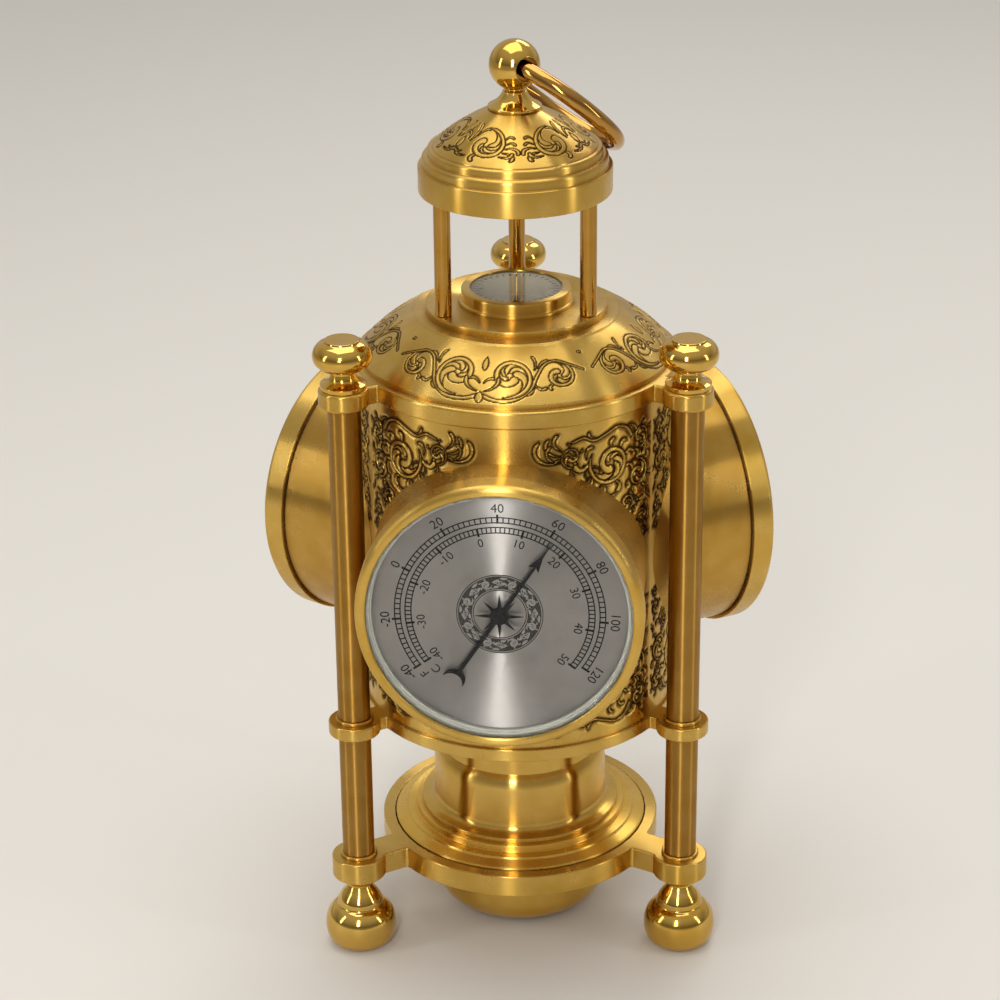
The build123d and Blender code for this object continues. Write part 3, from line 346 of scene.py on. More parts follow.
def plate(outline, low_level, high_level, edge, bores):
    """A flat plate: its outline goes up the side through a quarter round of radius edge at each
    rim. Each bore is a centre and rows of (radius, height) from the top down."""
    if signed_area(outline) < 0:
        outline = outline[::-1]
    normal = outline_normals(outline)
    quarter, count = np.linspace(-pi / 2, 0, 5), len(outline)
    tilt = np.r_[quarter, -quarter[::-1]][:, None, None]
    rise = edge * (1 + np.sin(quarter))
    level = np.r_[low_level + rise, high_level - rise[::-1]][:, None, None]
    rows = np.concatenate([outline - normal * (edge * (1 - np.cos(tilt))),
                           np.repeat(level, count, 1)], 2)
    bend = np.concatenate([normal * np.cos(tilt), np.repeat(np.sin(tilt), count, 1)], 2)
    points, normals = [rows.reshape(-1, 3)], [bend.reshape(-1, 3)]
    faces = [grid_faces(len(rows), count, False)]
    loops = [(rows[0], 0, rows[-1], (len(rows) - 1) * count)]
    start = len(rows) * count
    ring = circle(1, BORE_STEPS)[::-1]
    for (x, y), wall in bores:
        wall = np.asarray(wall, float)
        inward = np.stack([-np.gradient(wall[:, 1]), np.gradient(wall[:, 0])], 1)
        inward /= np.linalg.norm(inward, axis=1, keepdims=True)
        inward[0], inward[-1] = (0, 1), (0, -1)
        hole = np.stack([x + ring[:, 0] * wall[:, :1], y + ring[:, 1] * wall[:, :1],
                         np.repeat(wall[:, 1:], BORE_STEPS, 1)], -1)[::-1]
        turn = np.stack([-ring[:, 0] * np.abs(inward[:, :1]), -ring[:, 1] * np.abs(inward[:, :1]),
                         np.repeat(inward[:, 1:], BORE_STEPS, 1)], -1)[::-1]
        points.append(hole.reshape(-1, 3))
        normals.append(turn.reshape(-1, 3))
        faces.append(grid_faces(len(hole), BORE_STEPS, False) + start)
        loops.append((hole[0], start, hole[-1], start + (len(hole) - 1) * BORE_STEPS))
        start += len(hole) * BORE_STEPS
    for pick, facing in ((0, -1), (2, 1)):
        index = np.concatenate([loop[pick + 1] + np.arange(len(loop[pick])) for loop in loops])
        flat = np.concatenate([loop[pick] for loop in loops])
        triangles = np.array(tessellate_polygon([[Vector(p) for p in loop[pick]]
                                                 for loop in loops]))
        a, b, c = (flat[triangles[:, k], :2] for k in range(3))
        area = (b[:, 0] - a[:, 0]) * (c[:, 1] - a[:, 1]) - (b[:, 1] - a[:, 1]) * (c[:, 0] - a[:, 0])
        wrong = area * facing < 0
        triangles[wrong] = triangles[wrong][:, ::-1]
        triangles = triangles[np.abs(area) > 1e-12]
        faces.append(np.c_[index[triangles], -np.ones(len(triangles), int)])
    return np.vstack(points), np.vstack(faces), np.vstack(normals)


def eared_outline(radius, ear, arm, blend):
    """A disc's outline with three arms that end in round ears on the column circle, its corners
    rounded by blend. Each third goes round an ear and then along the disc to the next arm."""
    foot, neck = asin(arm / 2 / radius), asin(min(1, arm / 2 / ear))
    rows = []
    ear_steps, rim_steps = 40, 60
    round_ear = np.linspace(-pi + neck, pi - neck, ear_steps)
    rim = np.linspace(foot, 2 * pi / 3 - foot, rim_steps)
    ear_points = np.stack([COLUMN_CIRCLE + ear * np.cos(round_ear), ear * np.sin(round_ear)], 1)
    third = np.vstack([ear_points, radius * np.stack([np.cos(rim), np.sin(rim)], 1)])
    for turn in np.radians(list(COLUMN_SIDES.values())):
        rows.append(third @ np.array(((cos(turn), sin(turn)), (-sin(turn), cos(turn)))))
    ends = (0, ear_steps - 1, ear_steps, len(third) - 1)
    corners = {arm_index * len(third) + end for arm_index in range(3) for end in ends}
    return soften([(x, y, blend if i in corners else 0)
                   for i, (x, y) in enumerate(np.vstack(rows))])


def box_grid(centres, sizes, turns, low_level, high_level):
    """Many flat blocks: each is its size (w, h) turned by its angle about its centre (x, y)."""
    corner = np.array(((-1, -1), (1, -1), (1, 1), (-1, 1))) / 2
    local = corner[None] * np.asarray(sizes, float)[:, None]
    c, s = np.cos(turns)[:, None], np.sin(turns)[:, None]
    x, y = local[..., 0], local[..., 1]
    flat = np.stack([x * c - y * s, x * s + y * c], -1) + np.asarray(centres, float)[:, None]
    levels = np.array((low_level, high_level))[None, :, None, None]
    heights = np.broadcast_to(levels, (len(flat), 2, 4, 1))
    points = np.concatenate([np.repeat(flat[:, None], 2, 1), heights], -1)
    block = np.array(((3, 2, 1, 0), (4, 5, 6, 7), (0, 1, 5, 4), (1, 2, 6, 5), (2, 3, 7, 6),
                      (3, 0, 4, 7)))
    faces = (block[None] + 8 * np.arange(len(flat))[:, None, None]).reshape(-1, 4)
    return points.reshape(-1, 3), faces, None


def placed(part, place):
    """A part moved from its place's own axes into the shared frame."""
    points, faces, normals = part
    return to_place(points, place), faces, None if normals is None else normals @ place[1]


# Pieces

def build_mesh(name, parts, values=None):
    """One mesh of all parts, with values as the point attribute patina."""
    start, points, faces, normals = 0, [], [], []
    for part_points, part_faces, part_normals in parts:
        points.append(part_points)
        faces.append(np.where(part_faces < 0, -1, part_faces + start))
        normals.append(part_normals)
        start += len(part_points)
    points, faces = np.vstack(points) * MM, np.vstack(faces)
    used = faces >= 0
    mesh = bpy.data.meshes.new(name)
    mesh.vertices.add(len(points))
    mesh.vertices.foreach_set("co", points.astype(np.float32).ravel())
    mesh.loops.add(int(used.sum()))
    mesh.loops.foreach_set("vertex_index", faces[used].astype(np.int32))
    mesh.polygons.add(len(faces))
    mesh.polygons.foreach_set("loop_start", np.r_[0, np.cumsum(used.sum(1))[:-1]].astype(np.int32))
    mesh.update(calc_edges=True)
    mesh.shade_smooth()
    if all(n is not None for n in normals):
        mesh.normals_split_custom_set_from_vertices(np.vstack(normals).tolist())
    else:
        mesh.set_sharp_from_angle(angle=SHARP_ANGLE)
    if values is not None:
        attribute = mesh.attributes.new("patina", "FLOAT", "POINT")
        attribute.data.foreach_set("value", values.astype(np.float32).ravel())
    return mesh


def piece(name, parts, body, material, stands_for=(), values=None):
    """An object of these parts that rides on a body and stands for CAD nodes."""
    mesh = build_mesh(name, parts, values)
    mesh.materials.append(material)
    made = bpy.data.objects.new(name, mesh)
    bpy.context.scene.collection.objects.link(made)
    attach(made, body)
    if stands_for:
        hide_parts(*stands_for)


def brass_piece(name, parts, *stands_for, material=None, body=ROOT, values=None):
    """A piece in gilt brass."""
    piece(name, parts, body, material or brass_material(), stands_for, values)


def dress(material, *nodes):
    """Give CAD nodes their finished material."""
    for node in nodes:
        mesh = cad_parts[node].data
        mesh.materials.clear()
        mesh.materials.append(material)


# Scrollwork: a stroke is rows of (x, y, half width), a pattern is strokes, each over the last

def vine(points, start_width, end_width):
    """A smooth stem through points whose half width changes evenly."""
    path = smooth_curve(points, 6)
    return np.column_stack([path, np.linspace(start_width, end_width, len(path))])


def lobe(x, y, aim, length, width, bend):
    """A pointed leaf lobe. Its spine leaves (x, y) towards aim and has turned by bend * s ** 1.6
    degrees at share s of its length, and its half width follows sin(pi * s ** 0.8)."""
    s = np.linspace(0, 1, 12)
    heading, stride = np.radians(aim + bend * s ** 1.6), length / len(s)
    return np.column_stack([x + np.cumsum(np.cos(heading)) * stride,
                            y + np.cumsum(np.sin(heading)) * stride,
                            width * (0.25 + 0.75 * np.sin(pi * s ** 0.8)) * (1 - s ** 6)])


def hook(x, y, aim, length, width, bend):
    """A leaf, thin where it starts, that curls into a round head. At share s of its length it has
    turned by bend * s ** 1.7 degrees, and its half width is width * (0.3 + 0.7 s), rounded off at
    the head."""
    s = np.linspace(0, 1, 16)
    heading, stride = np.radians(aim + bend * s ** 1.7), length / len(s)
    return np.column_stack([x + np.cumsum(np.cos(heading)) * stride,
                            y + np.cumsum(np.sin(heading)) * stride,
                            width * (0.3 + 0.7 * s) * np.sqrt(1 - 0.8 * s ** 10)])


def leaf_scroll(x, y, radius, start, hand, turns, outer, inner):
    """A stem that winds in about (x, y): at share t it has turned by 360 * turns * t degrees from
    start, at radius * (1 - 0.72 t ** 0.9). Hooks curl away from its outside, and longer ones lie
    along its inside."""
    t = np.linspace(0, 1, 40)
    last = len(t) - 1
    angle = np.radians(start + hand * 360 * turns * t)
    reach = radius * (1 - 0.72 * t ** 0.9)
    width = radius * (0.09 + 0.09 * t ** 4) * np.minimum(1, 0.25 + 8 * t)
    stem = np.column_stack([x + reach * np.cos(angle), y + reach * np.sin(angle), width])
    step = np.gradient(stem[:, :2], axis=0)
    heading = np.degrees(np.arctan2(step[:, 1], step[:, 0]))
    rows = []
    for share in np.linspace(0.6, 0.04, outer):
        at, size = int(share * last), radius * (0.95 - 0.5 * share)
        rows.append(hook(*stem[at, :2], heading[at] - hand * 12, size, size * 0.15, -hand * 150))
    for share in np.linspace(0.1, 0.55, inner):
        at, size = int(share * last), radius * (1.35 - 0.9 * share)
        rows.append(hook(*stem[at, :2], heading[at] + hand * 22, size, size * 0.15, hand * 130))
    return rows + [stem]


def dot(x, y, radius):
    """A round stroke."""
    return np.array(((x, y, radius), (x, y, radius)))


def layered(points, strokes, line):
    """Two fields over points, in millimetres. The second is the greatest half width less distance
    of all strokes. The first is that of the last stroke that covers a point or ends within line."""
    far, search = -9.0, 1.6
    top, most = np.full(len(points), far), np.full(len(points), far)
    for stroke in strokes:
        margin = stroke[:, 2].max() + search
        least, greatest = stroke[:, :2].min(0) - margin, stroke[:, :2].max(0) + margin
        near = np.flatnonzero(((points > least) & (points < greatest)).all(1))
        start, span = stroke[:-1], np.diff(stroke, axis=0)
        gap = points[near, None] - start[None, :, :2]
        share = (gap * span[:, :2]).sum(-1) / np.maximum((span[:, :2] ** 2).sum(-1), 1e-9)
        share = np.clip(share, 0, 1)
        apart = np.linalg.norm(gap - share[..., None] * span[:, :2], axis=-1)
        own = (start[:, 2] + share * span[:, 2] - apart).max(1)
        most[near] = np.maximum(most[near], own)
        over = own > -line
        top[near[over]] = own[over]
    return top, most


def ease(values, start, end):
    """0 before start, 1 after end, and 3 t ** 2 - 2 t ** 3 between them."""
    t = np.clip((values - start) / (end - start), 0, 1)
    return t * t * (3 - 2 * t)


def drum_strokes():
    """Leaf scrolls in the upper right corner beside a pod, as (arc, height) from the pod's axis."""
    scrolls = ((40.4, 9.6, 1.7, 120, -1, 1.0, 3, 1), (39.6, 14.4, 2.5, 100, -1, 1.1, 3, 2),
               (33.8, 20.0, 3.4, 170, 1, 1.1, 5, 3), (38.6, 37.0, 3.6, -120, 1, 1.1, 5, 2),
               (37.6, 26.8, 4.4, 120, -1, 1.2, 6, 3), (22.6, 30.4, 2.6, 0, 1, 1.0, 3, 2),
               (17.4, 36.0, 3.3, -60, -1, 1.2, 4, 3), (28.6, 32.4, 6.6, 150, 1, 1.3, 8, 5))
    rows = [hook(15.0, 37.6, 150, 6.0, 0.6, -120), hook(15.4, 36.4, 178, 8.2, 0.6, -130),
            hook(15.6, 35.2, 195, 12.4, 0.7, -150), hook(14.6, 34.6, 170, 7.4, 0.55, -140),
            hook(20.6, 37.2, 200, 5.2, 0.6, 120), hook(21.6, 34.4, 110, 4.6, 0.6, -130),
            hook(26.2, 40.2, 200, 5.4, 0.6, -110), hook(33.0, 40.8, 10, 5.6, 0.6, -120),
            vine(((17.6, 39.8), (20.6, 40.6), (23.6, 39.4), (27.0, 40.4), (30.6, 41.6),
                  (33.6, 40.6), (35.4, 38.0)), 0.35, 0.5),
            hook(31.2, 24.6, 230, 5.0, 0.6, -120), hook(25.6, 27.0, 250, 4.6, 0.55, -120),
            hook(36.2, 21.6, 290, 5.0, 0.6, 120), hook(34.4, 15.6, 300, 4.6, 0.55, -120),
            hook(39.4, 32.0, 60, 4.0, 0.55, 120), hook(36.4, 33.2, 80, 4.6, 0.55, -100),
            hook(41.2, 21.8, 280, 4.4, 0.55, 110), hook(38.2, 19.4, 250, 3.6, 0.5, -120)]
    for scroll in scrolls:
        rows += leaf_scroll(*scroll)
    return rows


def shoulder_strokes():
    """The right half of one of the shoulder's four motifs, as (arc, distance up the cone)."""
    return [lobe(0.0, 9.2, 90, 4.4, 0.8, 0), hook(0.4, 5.6, 60, 3.6, 0.5, -100),
            hook(12.4, 5.6, -70, 3.4, 0.5, 120), hook(12.0, 5.0, -95, 3.4, 0.5, -110),
            hook(12.6, 9.4, 70, 4.6, 0.5, 60), hook(13.4, 9.8, 60, 4.4, 0.5, -70),
            *leaf_scroll(18.4, 7.4, 4.6, 115, -1, 1.05, 1, 3),
            vine(((0.4, 2.4), (3.4, 1.2), (7.6, 1.4), (11.2, 4.2), (13.2, 8.0), (15.4, 11.0),
                  (18.6, 11.9), (22.0, 10.2), (25.0, 8.2)), 0.5, 0.3),
            *leaf_scroll(6.4, 8.0, 6.2, -100, 1, 1.15, 0, 5), hook(0.6, 3.4, 20, 5.6, 0.55, 80),
            lobe(0, 0.4, 90, 3.0, 0.9, 0), dot(27.0, 9.6, 0.45), dot(26.0, 13.4, 0.4)]


def roof_strokes():
    """The right half of one of the roof's three motifs, as (arc, distance up the cone)."""
    return [hook(3.6, 2.6, 200, 3.8, 0.5, -110), hook(2.2, 3.6, 215, 2.4, 0.45, -100),
            hook(2.2, 6.6, 70, 6.4, 0.6, 60), hook(1.6, 7.0, 100, 4.2, 0.5, 90),
            hook(3.4, 8.6, 75, 4.6, 0.5, -80),
            lobe(0, 4.0, 90, 3.8, 0.75, 0), lobe(0, 10.4, 90, 2.6, 0.5, 0),
            hook(11.6, 8.4, 60, 3.0, 0.4, -130), hook(12.0, 7.0, 40, 2.6, 0.4, -120),
            hook(11.6, 5.6, 20, 4.4, 0.5, -130), hook(11.2, 4.4, 0, 4.0, 0.5, -140),
            hook(10.6, 3.4, -20, 3.6, 0.5, 110), *leaf_scroll(7.0, 6.5, 5.6, 105, -1, 0.92, 1, 5)]


def dial_strokes(pitch, middle):
    """One repeat of the fine scrolls round the middle of a dial, as (arc, radius)."""
    half = pitch / 2
    rows = [lobe(-half, middle + 0.9, -40, 2.2, 0.3, 60),
            lobe(half, middle - 0.9, 140, 2.2, 0.3, 60),
            lobe(-half, middle - 1.2, 10, 2.0, 0.26, -50),
            lobe(half, middle + 1.2, 190, 2.0, 0.26, -50),
            *leaf_scroll(0.0, middle, 1.5, 200, 1, 1.1, 5, 3)]
    for side in (-half, half):
        rows += leaf_scroll(side, middle, 0.9, 20, -1, 1.0, 3, 1)
    wider = (1, 1, 1.35)
    return [row * wider for row in rows]


# Materials

def new_group(name, inputs, *outputs):
    """A shader node group. Its inputs have a name and a default, a number or a vector, and its
    outputs are numbers with a name."""
    group = bpy.data.node_groups.new(name, "ShaderNodeTree")
    for label, default in inputs.items():
        kind = "NodeSocketFloat" if isinstance(default, float) else "NodeSocketVector"
        socket = group.interface.new_socket(label, in_out="INPUT", socket_type=kind)
        socket.default_value = default
    for label in outputs:
        group.interface.new_socket(label, in_out="OUTPUT", socket_type="NodeSocketFloat")
    return group, group.nodes.new("NodeGroupInput"), group.nodes.new("NodeGroupOutput")


def joined(tree, kind, links=(), **settings):
    """A new shader node with its settings made and its inputs linked or given a value."""
    node = tree.nodes.new("ShaderNode" + kind)
    for key, value in settings.items():
        setattr(node, key, value)
    for socket, source in dict(links).items():
        if isinstance(source, bpy.types.NodeSocket):
            tree.links.new(source, node.inputs[socket])
        else:
            node.inputs[socket].default_value = source
    return node


def toned(colour, tone):
    """A colour with its red, green and blue times the three numbers of tone."""
    return tuple(f * c for f, c in zip(tone, colour)) + (1,)


def mixed(tree, share, first, second):
    """The colour that lies by share between two colours."""
    return joined(tree, "Mix", {0: share, 6: first, 7: second}, data_type="RGBA").outputs[2]


def tarnish_group():
    """Cloudy tarnish: the product of a broad and a fine noise, as a mask and as a roughness."""
    group, given, put = new_group(
        "Lacquer clouding", {"Scale": 60.0, "Smooth": 0.1, "Dull": 0.24}, "Mask", "Roughness")
    place = joined(group, "TexCoord")
    broad = joined(group, "TexNoise",
                   {"Vector": place.outputs["Object"], "Scale": given.outputs["Scale"],
                    "Detail": 3.0})
    finer = joined(group, "Math", {0: given.outputs["Scale"], 1: 9.0}, operation="MULTIPLY")
    fine = joined(group, "TexNoise",
                  {"Vector": place.outputs["Object"], "Scale": finer.outputs[0], "Detail": 4.0})
    both = joined(group, "Math", {0: broad.outputs[0], 1: fine.outputs[0]}, operation="MULTIPLY")
    mask = joined(group, "MapRange", {"Value": both.outputs[0], "From Min": 0.12, "From Max": 0.42})
    rough = joined(group, "MapRange", {"Value": mask.outputs[0], "To Min": given.outputs["Smooth"],
                                       "To Max": given.outputs["Dull"]})
    group.links.new(mask.outputs[0], put.inputs["Mask"])
    group.links.new(rough.outputs[0], put.inputs["Roughness"])
    return group


def lathe_group():
    """Polishing marks: noise that changes fastest up the object's own z axis."""
    group, given, put = new_group("Polishing marks", {"Stretch": (400.0, 400.0, 6000.0)}, "Height")
    place = joined(group, "TexCoord")
    drawn = joined(group, "VectorMath",
                   {0: place.outputs["Object"], 1: given.outputs["Stretch"]}, operation="MULTIPLY")
    marks = joined(group, "TexNoise", {"Vector": drawn.outputs[0], "Scale": 1.0, "Detail": 2.0})
    group.links.new(marks.outputs[0], put.inputs["Height"])
    return group


def groove_group():
    """Ring grooves: noise along the distance from an axis, |axis x (point - middle)|."""
    group, given, put = new_group(
        "Ring grooves", {"Middle": (0.0, 0.0, 0.0), "Axis": (0.0, 0.0, 1.0)}, "Height")
    place = joined(group, "TexCoord")
    away = joined(group, "VectorMath", {0: place.outputs["Object"], 1: given.outputs["Middle"]},
                  operation="SUBTRACT")
    across = joined(group, "VectorMath", {0: given.outputs["Axis"], 1: away.outputs[0]},
                    operation="CROSS_PRODUCT")
    distance = joined(group, "VectorMath", {0: across.outputs[0]}, operation="LENGTH")
    grooves = joined(group, "TexNoise",
                     {"W": distance.outputs["Value"], "Scale": 5000.0, "Detail": 2.0},
                     noise_dimensions="1D")
    group.links.new(grooves.outputs[0], put.inputs["Height"])
    return group


def base_material(name):
    """A new material with an empty tree, a Principled shader and its output."""
    material = bpy.data.materials.new(name)
    material.use_nodes = True
    tree = material.node_tree
    tree.nodes.clear()
    shader = tree.nodes.new("ShaderNodeBsdfPrincipled")
    output = tree.nodes.new("ShaderNodeOutputMaterial")
    tree.links.new(shader.outputs[0], output.inputs[0])
    return material, tree, shader


def add_group(tree, name, maker, **values):
    """A shared group's node in a material's tree. The group is made when it is first asked for."""
    group = bpy.data.node_groups.get(name) or maker()
    return joined(tree, "Group", values, node_tree=group)


def clouded(tree, shader, scale, smooth, dull):
    """Lacquer clouding on a shader's roughness, from smooth in the clear to dull in the clouds."""
    cloud = add_group(tree, "Lacquer clouding", tarnish_group, Scale=scale, Smooth=smooth,
                      Dull=dull)
    tree.links.new(cloud.outputs["Roughness"], shader.inputs["Roughness"])
    return cloud


def bumped(tree, shader, height, strength):
    """A fine bump on a shader from a height between 0 and 1."""
    bump = joined(tree, "Bump", {"Height": height, "Strength": strength, "Distance": 0.0002})
    tree.links.new(bump.outputs[0], shader.inputs["Normal"])


def brushed(tree, shader, amount, pod=None):
    """Brushing round an axis, with highlights drawn out across it. The way round is the shader's
    tangent: about the piece's own upright middle, or the cross product of a pod's axis and the way
    from it."""
    shader.inputs["Anisotropic"].default_value = amount
    shader.inputs["Anisotropic Rotation"].default_value = 0.25
    if pod is None:
        around = joined(tree, "Tangent", direction_type="RADIAL", axis="Z")
    else:
        origin, axes = pod_place(pod)
        place = joined(tree, "TexCoord")
        away = joined(tree, "VectorMath", {0: place.outputs["Object"], 1: tuple(origin * MM)},
                      operation="SUBTRACT")
        around = joined(tree, "VectorMath", {0: tuple(axes[2]), 1: away.outputs[0]},
                        operation="CROSS_PRODUCT")
    tree.links.new(around.outputs[0], shader.inputs["Tangent"])


def brass_material(name="Gilt brass", cut=False, smooth=0.25, dull=0.34, brush=1.0, pod=None,
                   tone=(1, 1, 1)):
    """Brushed, lacquered brass, clouded in places, its colours times tone, which some pieces use to
    paint light or shade into a lighter or darker copy of the same brass. With cut, the point
    attribute patina darkens the engraved lines and the relief's ground."""
    if name in bpy.data.materials:
        return bpy.data.materials[name]
    finishes = bpy.context.scene.clock_finishes
    material, tree, shader = base_material(name)
    shader.inputs["Metallic"].default_value = 1.0
    cloud = clouded(tree, shader, 18.0, smooth, dull)
    colour = mixed(tree, cloud.outputs["Mask"], toned(finishes.gold_pale, tone),
                   toned(finishes.gold, tone))
    if cut:
        depth = joined(tree, "Attribute", attribute_name="patina").outputs["Fac"]
        colour = mixed(tree, depth, colour, finishes.patina)
        rough = joined(tree, "Math", {0: depth, 1: 0.35, 2: cloud.outputs["Roughness"]},
                       operation="MULTIPLY_ADD")
        tree.links.new(rough.outputs[0], shader.inputs["Roughness"])
    tree.links.new(colour, shader.inputs["Base Color"])
    bumped(tree, shader, add_group(tree, "Polishing marks", lathe_group).outputs["Height"], 0.04)
    if brush:
        brushed(tree, shader, brush, pod)
    return material


def drawn_brass():
    """Brass tube brushed round, which draws reflections out into upright streaks. Its colours are
    darkened by tone as painted shade, for the dark reflections down the tubes.
    """
    return brass_material("Drawn brass", smooth=0.36, dull=0.42, tone=(0.7, 0.6, 0.56))


def cut_brass():
    """Brass of the relief and of the engraving."""
    return brass_material("Relief brass", cut=True)


def polished_brass(name="Polished brass", tone=(1, 1, 1)):
    """Brass buffed bright, with no brushing."""
    return brass_material(name, smooth=0.07, dull=0.15, brush=0, tone=tone)


def dial_material(pod):
    """Silvering brushed in rings about the dial's axis, with fine grooves."""
    silvered = bpy.context.scene.clock_finishes.silvered
    material, tree, shader = base_material(f"Silvered dial {pod}")
    shader.inputs["Metallic"].default_value = 0.9
    origin, axes = pod_place(pod)
    rings = add_group(tree, "Ring grooves", groove_group, Middle=tuple(origin * MM),
                      Axis=tuple(axes[2]))
    cloud = clouded(tree, shader, 30.0, 0.42, 0.5)
    darker = toned(silvered, (0.86, 0.86, 0.86))
    tree.links.new(mixed(tree, cloud.outputs["Mask"], silvered, darker),
                   shader.inputs["Base Color"])
    bumped(tree, shader, rings.outputs["Height"], 0.12)
    brushed(tree, shader, 1.0, pod)
    return material


def plain_material(name, colour, metallic=0.0, smooth=0.3, dull=0.45, specular=0.5):
    """A plain finish whose roughness is clouded between two values."""
    if name in bpy.data.materials:
        return bpy.data.materials[name]
    material, tree, shader = base_material(name)
    shader.inputs["Base Color"].default_value = colour
    shader.inputs["Metallic"].default_value = metallic
    shader.inputs["Specular IOR Level"].default_value = specular
    clouded(tree, shader, 80.0, smooth, dull)
    return material


def glass_material():
    """Clear glass that lets light through to the dial behind it, with weak reflections."""
    name = "Clear glass"
    if name in bpy.data.materials:
        return bpy.data.materials[name]
    material, tree, shader = base_material(name)
    shader.inputs["Base Color"].default_value = (1, 1, 1, 1)
    shader.inputs["Roughness"].default_value = 0.0
    shader.inputs["IOR"].default_value = 1.22
    shader.inputs["Transmission Weight"].default_value = 1.0
    shadow = joined(tree, "LightPath").outputs["Is Shadow Ray"]
    clear = joined(tree, "BsdfTransparent")
    seen = joined(tree, "MixShader", {0: shadow, 1: shader.outputs[0], 2: clear.outputs[0]})
    output = next(node for node in tree.nodes if node.type == "OUTPUT_MATERIAL")
    tree.links.new(seen.outputs[0], output.inputs[0])
    return material


def engraved_silver():
    """Silvering whose cut ground is darkened by the point attribute patina."""
    name = "Engraved silver"
    if name in bpy.data.materials:
        return bpy.data.materials[name]
    finishes = bpy.context.scene.clock_finishes
    material, tree, shader = base_material(name)
    shader.inputs["Metallic"].default_value = 0.8
    depth = joined(tree, "Attribute", attribute_name="patina").outputs["Fac"]
    tree.links.new(mixed(tree, depth, finishes.silvered, finishes.ink), shader.inputs["Base Color"])
    clouded(tree, shader, 80.0, 0.3, 0.45)
    return material


def ink_material():
    """Black print and black hands."""
    ink = bpy.context.scene.clock_finishes.ink
    return plain_material("Black ink", ink, smooth=0.35, dull=0.5, specular=0.08)


def needle_material():
    """Dark towards +Y and bright towards -Y, on the needle's own coordinates."""
    finishes = bpy.context.scene.clock_finishes
    material, tree, shader = base_material("Needle halves")
    shader.inputs["Metallic"].default_value = 0.4
    place = joined(tree, "TexCoord")
    split = joined(tree, "SeparateXYZ", {0: place.outputs["Object"]})
    half = joined(tree, "Math", {0: split.outputs["Y"], 1: 0.0}, operation="LESS_THAN")
    tree.links.new(mixed(tree, half.outputs[0], finishes.ink, finishes.needle),
                   shader.inputs["Base Color"])
    clouded(tree, shader, 200.0, 0.25, 0.4)
    return material


def steel_material():
    """Turned steel of the cans, rods and nuts."""
    steel = bpy.context.scene.clock_finishes.steel
    return plain_material("Turned steel", steel, metallic=1.0, smooth=0.25, dull=0.4)


def engraved(node, before, cone, after, steps, repeats, mean, strokes, turn):
    """A turned shell whose cone is engraved: the profile runs through before, cone and after, and
    moves along its normals by the depth of the lines. A motif and its mirror image repeat round the
    cone, with arcs measured at the mean radius and one middle at turn degrees from the front
    towards the right."""
    name = f"engraved_{node.removeprefix('lantern_')}"
    line_depth = bpy.context.scene.clock_sizes.line_depth / MM
    angle = np.linspace(0, 2 * pi, steps, endpoint=False)
    climb = np.r_[0, np.cumsum(np.linalg.norm(np.diff(cone, axis=0), axis=1))]
    share = 2 * pi * mean / repeats
    along = np.abs(((angle + radians(90 - turn)) * mean + share / 2) % share - share / 2)
    flat = np.stack(np.broadcast_arrays(along[None], climb[:, None]), -1).reshape(-1, 2)
    top = layered(flat, strokes, 0.18)[0].reshape(len(cone), steps)
    # A line is full up to 0.1 mm from a stroke's edge, and gone at 0.26 mm
    line, leaf = 1 - ease(np.abs(top), 0.1, 0.26), ease(top, 0, 0.35)
    profile = np.vstack([before, cone, after])
    if signed_area(profile) < 0:
        raise RuntimeError(f"{name}: the profile has to run left-handed")
    start, end = len(before), len(before) + len(cone)
    height = np.zeros((len(profile), steps))
    height[start:end] = (-line + 0.4 * leaf) * line_depth
    stain = np.zeros_like(height)
    stain[start:end] = line * 0.95 + leaf * (1 - line) * 0.1
    normal = outline_normals(profile)
    radius = profile[:, :1] + normal[:, :1] * height
    level = profile[:, 1:] + normal[:, 1:] * height
    brass_piece(name, [wrap(polar(radius, angle, level))], node, material=cut_brass(), values=stain)


# Operators: one for each piece or group of like pieces

class ClockOperator:
    """What every operator shares: its step can be undone."""

    bl_options = {"REGISTER", "UNDO"}


class CLOCK_OT_feet(ClockOperator, bpy.types.Operator):
    """Bun feet, each with a dome and a narrow neck under the base."""

    bl_idname = "clock.feet"
    bl_label = "Feet"

    def execute(self, context):
        bun = smooth_curve(((6.4, 0), (8.5, 1.6), (9.4, 4.0), (9.55, 6.6), (8.9, 9.3), (7.55, 11.2),
                            (6.2, 12.1)))
        dome = smooth_curve(((6.1, 12.4), (5.85, 13.7), (5.0, 15.3), (3.95, 16.7), (3.2, 17.8)))
        profile = np.vstack([soften(((0, 0), (5.9, 0, 0.4)), False), bun, dome,
                             soften(((3.2, 17.9), (3.2, 18.3, 0.2), (3.9, 19.5, 0.3),
                                     (3.9, BASE_BOTTOM), (0, BASE_BOTTOM)), False)])
        for side in COLUMN_SIDES:
            foot = turned(profile, column_place(side), closed=False)
            brass_piece(f"bun_foot_{side}", [foot], f"foot_{side}", material=polished_brass())
        return {"FINISHED"}


